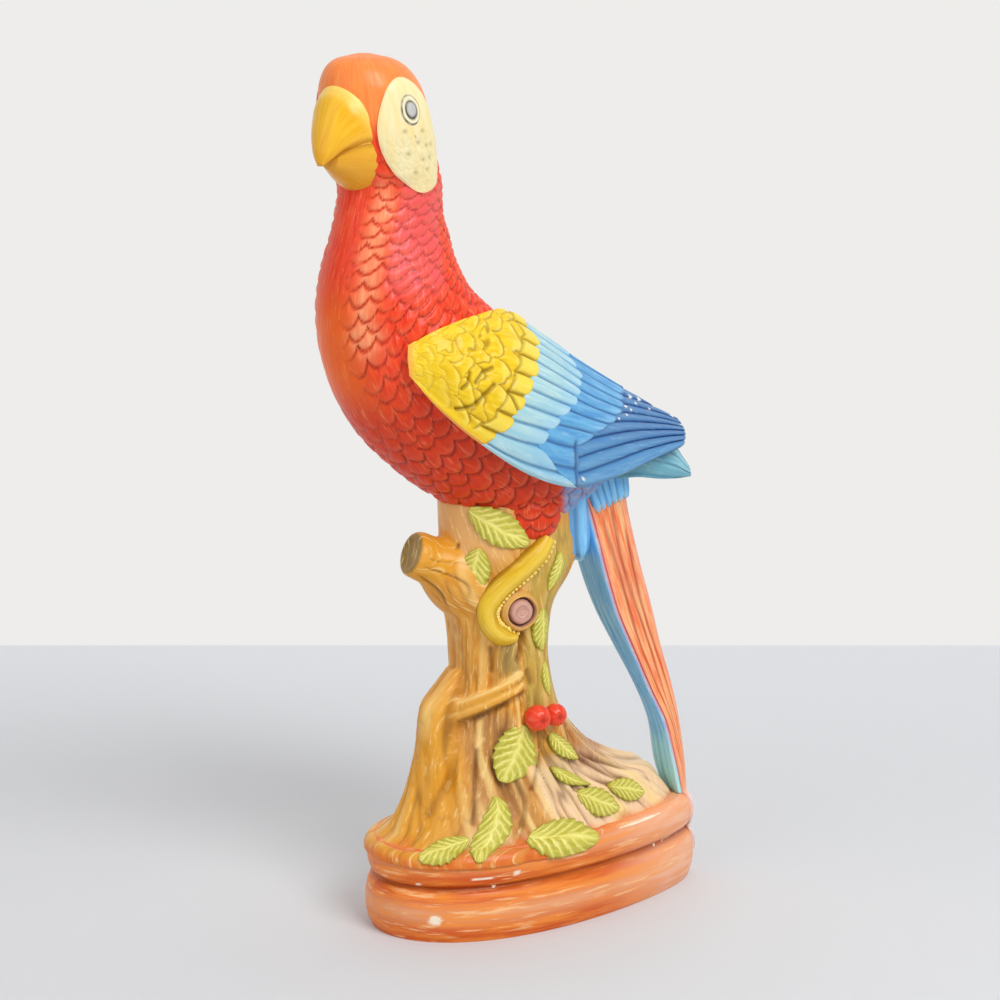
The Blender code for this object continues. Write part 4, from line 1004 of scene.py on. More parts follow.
@dataclass
class Plinth:
    """The two-tier foot, brushed round in orange."""

    columns: int = 330

    def outline(self) -> Array:
        """The half section as (inset, height), rounded between the corners of the solid."""
        low, upper = LOWER_TIER_HEIGHT, PLINTH_HEIGHT - LOWER_TIER_HEIGHT
        outside = [
            (FOOT_INSET, 0.0), (0.0006, low * 0.22), (0.0, low * 0.50), (0.0008, low * 0.76),
            (GROOVE_DEPTH * 0.5, low * 0.91), (GROOVE_DEPTH, low), (GROOVE_DEPTH * 0.5, low + upper * 0.15),
            (0.0010, low + upper * 0.45), (0.0020, low + upper * 0.76),
            (SHOULDER_INSET * 0.62, PLINTH_HEIGHT - upper * 0.06), (SHOULDER_INSET, PLINTH_HEIGHT),
            (MOUTH_INSET, PLINTH_HEIGHT),
        ]
        return catmull(outside, steps(120))

    def inside(self) -> Array:
        """The half section of the hollow, from the mouth under the stump down to the foot's rim."""
        under, inner = PLINTH_HEIGHT - WALL, GROOVE_DEPTH + WALL
        wall = [(inner + 0.004, under), (inner, under - 0.004), (inner, LOWER_TIER_HEIGHT * 0.4)]
        return np.array([(MOUTH_INSET, under), *wall, (FOOT_INSET + FOOT_RIM_WIDTH, 0.0)])

    def build(self) -> list[Piece]:
        """Makes the foot, open underneath as it was cast."""
        line = np.concatenate([self.outline(), self.inside()])
        angle = turns(self.columns)
        inset, height = line[:, :1], line[:, 1:2]
        ring = np.cos(angle)[None] * 0.08, np.sin(angle)[None] * 0.08
        spot = np.stack(np.broadcast_arrays(*ring, height), axis=-1)
        wobble = 0.0005 * GRAIN.layered(spot, (34, 34, 60)) * ease(0.0, 0.004, height)
        half = PLINTH_HALF_WIDTH * (1 + PLINTH_TAPER * np.cos(angle)) - inset + wobble
        length = PLINTH_HALF_LENGTH - inset + wobble
        height = np.broadcast_to(height, half.shape)
        grid = np.stack([half * np.sin(angle), CENTRE_Y - length * np.cos(angle), height], axis=-1)
        groove = bell(height - LOWER_TIER_HEIGHT, 0.0016)
        shoulder = bell(height - 0.036, 0.004) + bell(height - 0.013, 0.005)
        side = ease(0.010, 0.062, grid[..., 1] - CENTRE_Y) * ease(-0.01, 0.01, grid[..., 0])
        masks = {
            "groove": groove, "rim": np.clip(shoulder, 0, 1), "pale": side, "bare": self._chips(grid),
            "flow_u": np.broadcast_to(angle * 0.045, height.shape), "flow_v": height,
            "wear": 0.25 * groove + 0.12 * side,
        }
        return [ORANGE.dress("plinth", hoop(grid, masks), "base_plinth")]

    @staticmethod
    def _chips(grid: Array) -> Array:
        """The chips and the long crack that show the cream bisque."""
        chips = np.zeros(grid.shape[:2])
        for y, z, wide, high in PLINTH_CHIPS:
            near = ((grid[..., 1] - CENTRE_Y - y) / wide) ** 2 + ((grid[..., 2] - z) / high) ** 2
            ragged = near + 0.5 * GRAIN.at(grid, 900)
            chips = np.maximum(chips, ease(1.3, 0.7, ragged) * (grid[..., 0] > 0))
        return chips


# Chips on the plinth's left side: distance behind its centre, height, half length, half height
PLINTH_CHIPS = [
    (-0.0655, 0.0110, 0.0022, 0.0022),
    (-0.0700, 0.0262, 0.0010, 0.0008),
    (-0.0450, 0.0290, 0.0060, 0.0004),
    (-0.0300, 0.0300, 0.0016, 0.0012),
    (0.0400, 0.0385, 0.0130, 0.0005),
    (0.0600, 0.0250, 0.0040, 0.0006),
]


# How strongly the bark is carved: shares of the stump's height, strengths
BARK_STRENGTH = ([-0.02, 0.04, 0.3, 0.5, 1.0], [0.2, 1.35, 1.2, 0.6, 0.5])

# Deep grooves in the stump, painted dark as painted shade: width, depth, and a run of (share of the height,
# turn)
STUMP_GROOVES = [
    # Painted shadow along the root's edge.
    (0.0020, 0.0032, [(0.43, 21), (0.36, 19), (0.30, 20), (0.196, 24), (0.145, 21), (0.086, 18)]),
    (0.0017, 0.0034, [(0.700, 93), (0.645, 92), (0.610, 88)]),
    (0.0014, 0.0024, [(0.560, 100), (0.520, 103)]),
    (0.0013, 0.0018, [(0.650, 54), (0.570, 53)]),
    (0.0008, 0.0014, [(0.929, 2), (0.899, 18)]),
    (0.0008, 0.0014, [(0.851, -7), (0.808, 10)]),
    (0.0008, 0.0014, [(0.90, -4), (0.855, 14)]),
    (0.0007, 0.0014, [(1.006, 24), (0.967, 21), (0.927, 26)]),
    # Painted shadow under the twig.
    (0.0013, 0.0018, [(0.388, 24), (0.420, 44), (0.452, 63), (0.490, 90)]),
    (0.0011, 0.0016, [(0.361, 107), (0.280, 95), (0.162, 78)]),
    (0.0011, 0.0016, [(0.336, 105), (0.250, 110), (0.135, 97)]),
    (0.0012, 0.0016, [(0.24, 112), (0.17, 116), (0.11, 118)]),
    (0.0012, 0.0016, [(0.30, 120), (0.20, 126), (0.10, 128)]),
    (0.0012, 0.0016, [(0.24, 130), (0.15, 139), (0.09, 146)]),
    (0.0011, 0.0014, [(0.30, 42), (0.15, 45), (0.07, 46)]),
    (0.0011, 0.0014, [(0.22, 70), (0.12, 70), (0.05, 70)]),
    (0.0010, 0.0012, [(0.30, 10), (0.16, 8), (0.06, 6)]),
    (0.0010, 0.0012, [(0.28, -6), (0.16, -7), (0.06, -8)]),
]


@dataclass
class Stump:
    """The trunk with its sawn stub, root and twig as one carved casting, and the pieces laid on it."""

    skin: Loft
    voxel: float = 0.0008

    def at(self, share: Array, degrees: Array, lift: Array) -> Array:
        """Points above the plain trunk at shares of its height."""
        s, angle = self.skin.share_at(np.asarray(share) * STUMP_HEIGHT + STUMP_FOOT), np.radians(degrees)
        s, angle = np.broadcast_arrays(s, angle)
        return self.skin.point(s, angle) + self.skin.normal(s, angle) * np.asarray(lift)[..., None]

    def _trunk(self) -> Clay:
        """The trunk with long shallow flutes."""
        s = self.skin.even(150)[:, None]
        angle = turns(160)[None]
        s, angle = np.broadcast_arrays(s, angle)
        fade = ease(0.06, 0.40, s) * np.minimum(1.0, 2.2 * (1 - s))
        flute = 0.0010 * fade * np.cos(7 * angle + 5.0 * s)
        return sleeve(self.skin.point(s, angle) + self.skin.normal(s, angle) * flute[..., None], {})

    def _stub_line(self) -> tuple[Array, Array, Array]:
        """Where the cut branch starts, the way it points, and its upper side."""
        axis = np.array([0, -math.cos(STUB_RISE), math.sin(STUB_RISE)])
        up = np.array([0, math.sin(STUB_RISE), math.cos(STUB_RISE)])
        return self.at(STUB_SHARE, 0.0, -0.0045), axis, up

    def _stub(self) -> Clay:
        """The cut branch, which swells to its sawn end."""
        base, axis, up = self._stub_line()
        table = [
            (-0.45, 1.90, -0.44), (0.00, 1.66, -0.32), (0.25, 1.42, -0.22), (0.52, 1.10, -0.08),
            (0.80, 1.04, 0.0), (0.93, 0.98, 0.0), (0.99, 0.86, 0.0), (0.985, 0.70, 0.0),
            (0.95, 0.60, 0.0), (0.955, 0.25, 0.0),
        ]
        rows = catmull(table, steps(50))
        turn = turns(72)[None, :, None]
        spokes = up * np.cos(turn) + np.array([1.0, 0, 0]) * np.sin(turn)
        centre = base + axis * STUB_REACH * rows[:, :1] + up * STUB_RADIUS * rows[:, 2:3]
        return sleeve(centre[:, None] + spokes * STUB_RADIUS * rows[:, 1][:, None, None], {})

    def _root(self) -> Clay:
        """The buttress root at the lower front."""
        table = [
            (-0.01, 1.00, 1.00), (0.12, 0.70, 0.84), (0.27, 0.53, 0.70), (0.38, 0.50, 0.62),
            (0.44, 0.46, 0.56), (0.49, 0.28, 0.50), (0.56, 0.02, 0.36),
        ]
        rows = catmull(table, steps(60))
        turn = turns(80)[None]
        reach = PLINTH_HALF_LENGTH - FLARE_MARGIN - TRUNK_FRONT
        front = -(TRUNK_FRONT + rows[:, 1:2] * reach + 0.0015)
        back = -TRUNK_FRONT + 0.0045
        half = ROOT_HALF_WIDTH * rows[:, 2:3]
        centre, depth = (front + back) / 2, (back - front) / 2
        rise = np.broadcast_to(rows[:, :1] * STUMP_HEIGHT, (60, 80))
        grid = np.stack([half * np.sin(turn), centre - depth * np.cos(turn), rise], axis=-1)
        return sleeve(grid + STUMP_AT, {})

    def _strand(self, drop: float) -> Array:
        """The middle line of one of the thin branch's two strands, from the root's shoulder up the side."""
        share = steps(60)
        path = catmull(TWIG_PATH, share)
        lift = TWIG_LIFT * (ease(0.0, 0.12, share) - ease(0.9, 1.0, share))
        return self.at(path[:, 0] - drop, path[:, 1], lift)

    def _twig(self, drop: float) -> Clay:
        """One of the thin branch's two strands."""
        return tube(self._strand(drop), TWIG_RADIUS * (0.86 - 0.40 * steps(60)), 20)

    def _cast(self) -> Piece:
        """The trunk, stub, root and twig as one skin, closed over by voxels."""
        parts = [self._trunk(), self._stub(), self._root(), *(self._twig(drop) for drop in TWIG_DROPS)]
        rough = mesh_of("stump_rough", joined(parts), BARK.material())
        skin = rough.modifiers.new("one skin", "REMESH")
        skin.mode, skin.voxel_size = "VOXEL", self.voxel
        smooth = rough.modifiers.new("soften", "SMOOTH")
        smooth.factor, smooth.iterations = 0.6, 5
        return plain_copy(rough, "stump_glazed")

    def _grooves(self, points: Array) -> tuple[Array, Array]:
        """How deep the drawn grooves go at each point, and their mask, which paints them dark as painted
        shade.
        """
        dent, drawn = np.zeros(len(points)), np.zeros(len(points))
        for width, depth, run in STUMP_GROOVES:
            share, degrees = np.array(run).T
            for side in Side:
                line = self.at(share, side.value * degrees, 0 * share)
                near = bell(near_line(points, catmull(line, steps(14))), width)
                dent, drawn = np.maximum(dent, near * depth), np.maximum(drawn, near)
        return dent, drawn

    def _carve(self, mesh: bpy.types.Mesh) -> None:
        """Carves bark into the skin and writes the paint's masks, with painted highlights on the ridges and
        the twig's top, and painted shade in the slits, the grooves and under the twig.
        """
        points, normals = vectors_of(mesh, "co"), vectors_of(mesh, "normal")
        local = points - STUMP_AT
        share = local[:, 2] / STUMP_HEIGHT
        ahead = np.interp(share, [0, 0.3, 1.0], [-0.004, -0.018, -0.016]) - local[:, 1]
        angle, radius = np.arctan2(local[:, 0], ahead), np.hypot(local[:, 0], ahead)
        knot = self.at(*KNOT_PLACE, 0.0) - STUMP_AT
        away = np.hypot(local[:, 1] - knot[1], local[:, 2] - knot[2])
        bend = 0.35 * bell(away, 0.016) * np.sign(local[:, 1] - knot[1])
        twist = angle + 0.25 * GRAIN.at(points, (20, 20, 14)) + bend + 0.5 * (share - 0.3)
        flow = np.stack([np.cos(twist) * 0.05, np.sin(twist) * 0.05, local[:, 2] * 0.16], axis=-1)
        lines = GRAIN.layered(flow, 112, 2)
        broken = ease(-0.4, 0.1, GRAIN.at(points + 0.2, (70, 70, 40)))
        slit = bell(lines, 0.07) * broken
        fine = bell(GRAIN.layered(flow + 0.31, 400, 2), 0.09) * (1 - 0.5 * broken)
        on_stub, end, wrinkle = self._stub_marks(points)
        smooth = ease(0.90, 1.00, share) * ease(-0.018, -0.030, local[:, 1]) * (1 - on_stub)
        off = np.minimum(*(near_line(points, self._strand(drop)[::3]) for drop in TWIG_DROPS))
        crest = bell(np.maximum(off - TWIG_RADIUS * 0.6, 0.0), 0.0013)
        plain = 0.85 * np.maximum(smooth, on_stub)
        strength = (1 - plain) * np.interp(share, *BARK_STRENGTH) * (1 - crest)
        dent, drawn = self._grooves(points)
        height = 0.00110 * (ease(0.04, 0.34, np.abs(lines)) - 0.6) - 0.0006 * slit - 0.00022 * fine
        height = height * strength
        radial = np.hypot(normals[:, 0], normals[:, 1])
        sunk = height * (0.4 + 0.6 * radial) - dent - 0.0007 * wrinkle - 0.0004 * end
        mesh.vertices.foreach_set("co", (points + normals * sunk[:, None]).ravel())
        wander = 0.05 * GRAIN.layered(points, (60, 60, 45))
        degrees = np.degrees(np.abs(angle)) + 160 * wander
        level = share + wander

        def zone(low: float, high: float, start: float, stop: float) -> Array:
            """A soft-edged patch between two heights and two angles."""
            tall = ease(low - 0.03, low + 0.03, level) * ease(high + 0.03, high - 0.03, level)
            return tall * ease(start - 8, start + 8, degrees) * ease(stop + 8, stop - 8, degrees)

        carved = np.clip(strength, 0, 1)
        # The twig's top is painted lighter and its underside darker by which way its skin faces: painted
        # highlight and painted shade.
        shaded, lit = ease(-0.1, -0.6, normals[:, 2]), 0.1 + 0.9 * ease(0.15, 0.7, normals[:, 2])
        # The bark's slits, the drawn grooves and the stub's wrinkles are painted dark as painted shade, and
        # its ridges light as painted highlights.
        dark = [slit * carved * 0.75, 0.25 * fine * carved, drawn, wrinkle * 0.9, 0.7 * crest * shaded]
        write_masks(mesh, {
            "groove": np.clip(np.maximum.reduce(dark), 0, 1),
            "rim": np.clip(ease(0.22, 0.55, np.abs(lines)) * carved * (1 - end) + crest * lit, 0, 1),
            "smooth": smooth,
            "end": end,
            "orange": np.maximum.reduce([zone(-0.1, 0.46, -20, 24), on_stub * (1 - end), crest]),
            "tan": zone(-0.02, 0.42, 28, 78),
            "mauve": zone(-0.1, 0.26, 84, 200),
            "olive": zone(0.44, 1.05, 94, 150) + 0.35 * zone(0.16, 0.5, 92, 126),
            "russet": zone(0.18, 0.60, 138, 200),
            "grey": zone(0.545, 0.675, 54, 86),
            "brushed": ease(0.012, -0.028, share + 0.03 * GRAIN.at(points, (90, 90, 30))),
            "flow_u": local[:, 2], "flow_v": twist * np.maximum(radius, 0.02), "wear": 0.05 * carved,
        })
        mesh.update()

    def _stub_marks(self, points: Array) -> tuple[Array, Array, Array]:
        """Masks of the cut branch: the whole of it, its sawn end, and the wrinkles along its lower sides."""
        base, axis, up = self._stub_line()
        away = points - base
        reach = away @ axis / STUB_REACH
        spoke = away - (away @ axis)[:, None] * axis
        wide = np.linalg.norm(spoke, axis=1) / STUB_RADIUS
        turn = np.arctan2(spoke[:, 0], spoke @ up)
        whole = ease(1.5, 1.25, wide) * ease(-0.15, 0.2, reach)
        end = ease(0.90, 0.955, reach) * ease(1.0, 0.86, wide)
        waves = np.sin(6 * turn + 2.2 * GRAIN.at(points, (70, 70, 70)) + 2 * reach)
        wrinkle = bell(waves, 0.22) * ease(0.35, -0.1, np.cos(turn))
        wrinkle = wrinkle * ease(-0.4, 0.0, reach) * ease(0.86, 0.7, reach)
        return whole, end, wrinkle * ease(2.2, 1.6, wide)

    def _knot(self, side: Side) -> Piece:
        """A sawn branch end: a collar with growth rings sunk in it."""
        share, degrees = KNOT_PLACE
        s, angle = self.skin.share_at(share * STUMP_HEIGHT + STUMP_FOOT), side.value * math.radians(degrees)
        centre, out = self.skin.point(s, angle), self.skin.normal(s, angle)
        across = unit(np.cross(out, np.array([0, 0, 1.0])))
        up = np.cross(across, out)
        table = [
            (1.32, -0.0045), (1.26, 0.0002), (1.12, KNOT_REACH * 0.55), (1.01, KNOT_REACH * 0.78),
            (0.94, KNOT_REACH * 0.62), (0.88, KNOT_REACH * 0.24), (0.82, KNOT_REACH * 0.16),
            (0.75, KNOT_REACH * 0.46), (0.62, KNOT_REACH * 0.72), (0.36, KNOT_REACH * 0.72),
            (0.20, KNOT_REACH * 0.64), (0.04, KNOT_REACH * 0.62),
        ]
        rows = catmull(table, steps(90))
        turn = turns(96)[None]
        ragged = 1 + 0.05 * GRAIN.at(np.stack([np.cos(turn) * 0.01, np.sin(turn) * 0.01, turn * 0], -1), 150)
        radius = KNOT_RADIUS * rows[:, :1] * ragged
        rings = 0.00012 * np.sin(rows[:, :1] * 42) * ease(0.62, 0.5, rows[:, :1])
        rise = rows[:, 1:2] + rings + 0.0002 * (ragged - 1) * 20
        spoke = across * np.cos(turn)[..., None] + up * np.sin(turn)[..., None]
        grid = centre + out * rise[..., None] + spoke * radius[..., None]
        ring = np.broadcast_to(rows[:, :1], grid.shape[:2])
        masks = {
            "groove": np.maximum(bell(ring - 0.85, 0.06), 0.35 * bell(ring - 0.40, 0.04)),
            "rim": ease(0.89, 0.97, ring), "flow_u": ring * 0 + turn * 0.004, "flow_v": ring * 0.01,
        }
        return SAWN.dress(f"knot_{side.word}", sleeve(grid, masks), f"perch_knot_{side.word}")

    def build(self) -> list[Piece]:
        """Makes the carved stump and its knots."""
        cast = self._cast()
        self._carve(cast.data)
        settle(cast, BARK.slot, "tree_stump", "front_branch_stub", "front_root", "side_twig")
        return [cast, *(self._knot(side) for side in Side)]


@dataclass(frozen=True)
class Leaf:
    """One moulded leaf with a saw edge and pressed veins."""

    name: str
    share: float
    degrees: float
    length: float
    width: float
    heading: float

    def build(self, stump: Stump) -> Piece:
        """Lays the leaf on the trunk's skin.

        Args:
            stump: The trunk that carries it.

        Returns:
            The finished leaf.
        """
        s0 = float(stump.skin.share_at(self.share * STUMP_HEIGHT + STUMP_FOOT))
        angle0 = math.radians(self.degrees)
        _, around = stump.skin.scale(s0, angle0)
        u, v = lattice(steps(66), np.linspace(-1, 1, 35))
        teeth = 7
        tooth = (u * teeth) % 1.0
        half = 0.5 * self.width * np.maximum(np.sin(math.pi * np.minimum(u * 0.92 + 0.05, 1.0)), 0.0) ** 0.8
        half = np.maximum(half * (0.93 + 0.16 * tooth), 0.0003)
        a, b = (u - 0.5) * self.length, v * half
        turn = math.radians(self.heading)
        s = stump.skin.moved(s0, angle0, -math.cos(turn) * a + math.sin(turn) * b)
        angle = angle0 + (math.sin(turn) * a + math.cos(turn) * b) / around
        s = np.clip(s, 0.001, 0.999)
        slant = ((u - 0.30 * np.abs(v)) * teeth) % 1.0
        wander = 0.12 * GRAIN.at(np.stack([a, b, 0 * a + s0], axis=-1), 300)
        veins = 0.35 * ease(0.5, 0.2, np.abs(slant - 0.5))
        vein = bell(np.minimum(slant, 1 - slant) + wander, 0.20) * ease(1.0, 0.75, np.abs(v))
        vein = np.maximum(vein, bell(v + wander, 0.13))
        pillow = 1.0 - 0.55 * np.abs(v) ** 2.2
        lift = 0.0004 + LEAF_THICKNESS * pillow * (0.60 + 0.40 * np.sin(math.pi * u)) - 0.00045 * vein
        skin, normal = stump.skin.point(s, angle), stump.skin.normal(s, angle)
        top = skin + normal * lift[..., None]
        under = skin - normal * 0.0014
        masks = {
            "groove": ease(0.75, 1.0, np.abs(v)) * 0.5 + veins * (1 - bell(v, 0.3)),
            "rim": vein, "flow_u": a, "flow_v": b,
        }
        return LEAF.dress(self.name, slab(top, under, masks))


# Pieces that geometry nodes lay along a path


def path_object(name: str, points: Array, radii: Array, beside: Array) -> Piece:
    """A line of vertices, each with a thickness and the way to its row of beads."""
    mesh = bpy.data.meshes.new(name)
    mesh.from_pydata(points.tolist(), [(k, k + 1) for k in range(len(points) - 1)], [])
    write_masks(mesh, {"thickness": radii})
    ways = mesh.attributes.new("beside", "FLOAT_VECTOR", "POINT").data
    ways.foreach_set("vector", beside.astype(np.float32).ravel())
    return linked(name, mesh)


def beaded_band_tree() -> bpy.types.NodeTree:
    """Node tree that sweeps a rod along the line and sets a row of beads beside it."""
    tree = bpy.data.node_groups.new("beaded_band", "GeometryNodeTree")
    sockets = {
        "Geometry": "NodeSocketGeometry", "Sides": "NodeSocketInt", "Bead Count": "NodeSocketInt",
        "Bead Radius": FLOAT, "Seed": "NodeSocketInt", "Material": "NodeSocketMaterial",
    }
    for label, kind in sockets.items():
        tree.interface.new_socket(label, in_out="INPUT", socket_type=kind)
    tree.interface.new_socket("Geometry", in_out="OUTPUT", socket_type="NodeSocketGeometry")
    wiring = Wiring(tree)
    given, out = wiring.node("NodeGroupInput").outputs, wiring.node("NodeGroupOutput").inputs

    def add(kind: str, feeds: dict, **settings: object) -> bpy.types.NodeSocket:
        """The first output of a new geometry node."""
        return wiring.node("GeometryNode" + kind, feeds, **settings).outputs[0]

    curve = add("MeshToCurve", {0: given["Geometry"]})
    thickness = add("InputNamedAttribute", {"Name": "thickness"}, data_type="FLOAT")
    beside = add("InputNamedAttribute", {"Name": "beside"}, data_type="FLOAT_VECTOR")
    profile = add("CurvePrimitiveCircle", {"Resolution": given["Sides"], "Radius": 1.0})
    thick = add("SetCurveRadius", {"Curve": curve, "Radius": thickness})
    rod = wiring.node(
        "GeometryNodeCurveToMesh", {"Curve": thick, "Profile Curve": profile, "Fill Caps": True}
    )
    if "Scale" in rod.inputs:
        wiring.feed(rod.inputs["Scale"], thickness)
    spread = add("ResampleCurve", {"Curve": curve, "Count": given["Bead Count"]})
    shifted = add("SetPosition", {"Geometry": spread, "Offset": beside})
    ball = add("MeshIcoSphere", {"Radius": given["Bead Radius"], "Subdivisions": 3})
    marks = {"Geometry": ball, "Name": "rim", "Value": 1.0}
    marked = add("StoreNamedAttribute", marks, data_type="FLOAT", domain="POINT")
    size = wiring.node("FunctionNodeRandomValue", {2: 0.82, 3: 1.18, 8: given["Seed"]}, data_type="FLOAT")
    beads = add("InstanceOnPoints", {"Points": shifted, "Instance": marked, "Scale": size.outputs[1]})
    joint = wiring.node("GeometryNodeJoinGeometry")
    for part in (rod.outputs[0], add("RealizeInstances", {0: beads})):
        wiring.feed(joint.inputs[0], part)
    whole = add("RealizeInstances", {0: joint.outputs[0]})
    wiring.feed(out[0], add("SetMaterial", {"Geometry": whole, "Material": given["Material"]}))
    return tree


def grown(line: Piece, tree: bpy.types.NodeTree, name: str, values: dict[str, object]) -> Piece:
    """Runs a node tree on a line and keeps the result as a plain mesh.

    Args:
        line: The line, which is removed afterwards.
        tree: The node tree.
        name: The finished piece's name.
        values: The tree's inputs by their labels.

    Returns:
        The piece, without a modifier.
    """
    modifier = line.modifiers.new(tree.name, "NODES")
    modifier.node_group = tree
    for item in tree.interface.items_tree:
        if item.item_type == "SOCKET" and item.in_out == "INPUT" and item.name in values:
            modifier[item.identifier] = values[item.name]
    bpy.context.view_layer.update()
    return plain_copy(line, name)


@dataclass
class Growth:
    """The toes, leaves, berries and stem that lie on the trunk."""

    stump: Stump

    def _toe(self, side: Side, tree: bpy.types.NodeTree) -> Piece:
        """The toe band over the trunk and round the knot, with its row of beads."""
        share = steps(70)
        height, degrees = catmull(TOE_PATH, share).T
        points, above = (
            self.stump.at(height, side.value * degrees, TOE_RADIUS * lift + 0 * share)
            for lift in (-0.18, 1.10)
        )
        radii = TOE_RADIUS * 1.42 * np.minimum(np.minimum(0.72 + 1.8 * share, 0.45 + 3.2 * (1 - share)), 1.0)
        out = unit(above - points)
        beside = -side.value * unit(np.cross(np.gradient(points, axis=0), out))
        line = path_object("toe_line", points, radii, (beside * 0.80 + out * 0.52) * radii[:, None])
        values = {
            "Sides": 28, "Bead Count": 30, "Bead Radius": 0.00098, "Seed": 3, "Material": TOE.material()
        }
        piece = grown(line, tree, f"foot_{side.word}_glazed", values)
        spots = vectors_of(piece.data, "co")
        nearest = np.argmin(np.linalg.norm(spots[:, None] - points[None], axis=-1), axis=1)
        across = np.sum((spots - points[nearest]) * beside[nearest], axis=1) / radii[nearest]
        dots = np.empty(len(spots), np.float32)
        piece.data.attributes["rim"].data.foreach_get("value", dots)
        band = 1 - np.clip(dots, 0, 1)
        # The band is painted lighter along its middle and darker at its sides: painted highlight and painted
        # shade.
        write_masks(piece.data, {
            "light": bell(across - 0.1, 0.30) * band, "flow_u": nearest * 0.0006, "flow_v": across * 0.004,
            "groove": band * (ease(-0.70, -0.98, across) + ease(0.55, 0.8, across)),
        })
        return settle(piece, TOE.slot, f"foot_{side.word}")

    def _berry(self, index: int) -> Piece:
        """One berry with a pinched eye."""
        share, degrees = BERRY_PLACES[index]
        centre = self.stump.at(share, degrees, np.array(BERRY_RADIUS * 0.75))
        radius = BERRY_RADIUS * (1 - 0.12 * index)
        polar, turn = lattice(np.linspace(0.02, math.pi - 0.02, 60), turns(80))
        out = np.stack([np.cos(polar), np.sin(polar) * np.cos(turn), np.sin(polar) * np.sin(turn)], axis=-1)
        pinch = 1 - 0.16 * bell(polar, 0.32) + 0.015 * np.cos(5 * turn) * bell(polar - 0.6, 0.5)
        masks = {"groove": bell(polar, 0.3), "flow_u": polar * 0.004, "flow_v": turn * 0.004}
        grid = centre + out * (radius * pinch)[..., None]
        return BERRY.dress(f"berry_{index + 1}", sleeve(grid, masks))

    def _stem(self) -> Piece:
        """The short dark stem under the berries."""
        path = catmull(BERRY_STEM_PATH, steps(30))
        points = self.stump.at(path[:, 0], path[:, 1], np.full(30, 0.0009))
        masks = {"groove": np.full((30, 16), 0.55)}
        return BARK.dress("berry_stem", tube(points, np.full(30, BERRY_STEM_RADIUS), 16, masks))

    def build(self) -> list[Piece]:
        """Makes every piece that lies on the trunk."""
        tree = beaded_band_tree()
        pieces = [self._toe(side, tree) for side in Side]
        pieces += [self._berry(index) for index in range(len(BERRY_PLACES))]
        pieces.append(self._stem())
        pieces += [Leaf(*row).build(self.stump) for row in LEAVES]
        return pieces


# The bird

HEAD_TURN = math.radians(24.5)
NECK_AXIS_Y = -0.070
TURNING_STATIONS = 4
FACE_HALF_HEIGHT = 0.0235
FACE_HALF_WIDTH = 0.0168
PATCH_THICKNESS = 0.0009
PATCH_SEAT = 0.00045
EYE_RADIUS = 0.0064
PATCH_PLACE = (0.1775, 84.5)
EYE_PLACE = (0.1880, 83)
MOUTH_BULGE = 0.15
THIGH_CENTRE = (0.0165, -0.0115, 0.0145)
THIGH_RADII = (0.0108, 0.0138, 0.0158)

# Rump to neck: front point (y, z), back point (y, z), half width
BODY_STATIONS = [
    (0.0300, 0.0220, 0.0450, 0.0360, 0.0080), (0.0110, 0.0060, 0.0360, 0.0490, 0.0165),
    (-0.0080, 0.0010, 0.0230, 0.0640, 0.0265), (-0.0290, 0.0080, 0.0070, 0.0800, 0.0335),
    (-0.0480, 0.0205, -0.0100, 0.0920, 0.0352), (-0.0695, 0.0365, -0.0250, 0.1030, 0.0358),
    (-0.0875, 0.0560, -0.0350, 0.1120, 0.0352), (-0.0980, 0.0790, -0.0400, 0.1200, 0.0330),
    (-0.1015, 0.1000, -0.0430, 0.1280, 0.0295), (-0.1005, 0.1190, -0.0440, 0.1365, 0.0250),
    (-0.0965, 0.1360, -0.0455, 0.1440, 0.0213),
]

# Height, forward shift from the neck's axis, half length, half width
HEAD_STATIONS = [
    (0.1550, -0.0010, 0.0240, 0.0200), (0.1630, 0.0024, 0.0247, 0.0210), (0.1720, 0.0056, 0.0252, 0.0217),
    (0.1810, 0.0080, 0.0250, 0.0220), (0.1900, 0.0093, 0.0238, 0.0214), (0.1980, 0.0112, 0.0222, 0.0197),
    (0.2048, 0.0130, 0.0182, 0.0160), (0.2085, 0.0142, 0.0128, 0.0112), (0.2102, 0.0146, 0.0055, 0.0048),
]

# Outer point (forward, height), point on the mouth line, half width
UPPER_BEAK_STATIONS = [
    (0.0190, 0.1985, 0.0060, 0.1770, 0.0160), (0.0300, 0.2000, 0.0170, 0.1765, 0.0160),
    (0.0360, 0.1945, 0.0250, 0.1762, 0.0146), (0.0390, 0.1880, 0.0310, 0.1750, 0.0118),
    (0.0415, 0.1800, 0.0360, 0.1728, 0.0086), (0.0429, 0.1720, 0.0396, 0.1690, 0.0050),
    (0.0428, 0.1675, 0.0417, 0.1660, 0.0018),
]
LOWER_BEAK_STATIONS = [
    (0.0060, 0.1540, 0.0060, 0.1758, 0.0160), (0.0160, 0.1530, 0.0170, 0.1756, 0.0160),
    (0.0237, 0.1555, 0.0250, 0.1750, 0.0144), (0.0303, 0.1598, 0.0315, 0.1734, 0.0102),
    (0.0362, 0.1640, 0.0365, 0.1700, 0.0050),
]

# Pits on the cheek, as millimetres up and back from the patch's centre
CHEEK_PITS = [
    (1.7, -4.9), (1.7, 4.9), (-2.9, 1.1), (-7.2, -4.9), (-4.2, 6.0),
    (-3.8, 9.7), (-9.8, 2.2), (-9.3, 7.0), (-14.0, 3.8), (-14.9, -3.2),
]

AHEAD = np.array([math.sin(HEAD_TURN), -math.cos(HEAD_TURN), 0.0])
ASIDE = np.array([-AHEAD[1], AHEAD[0], 0.0])


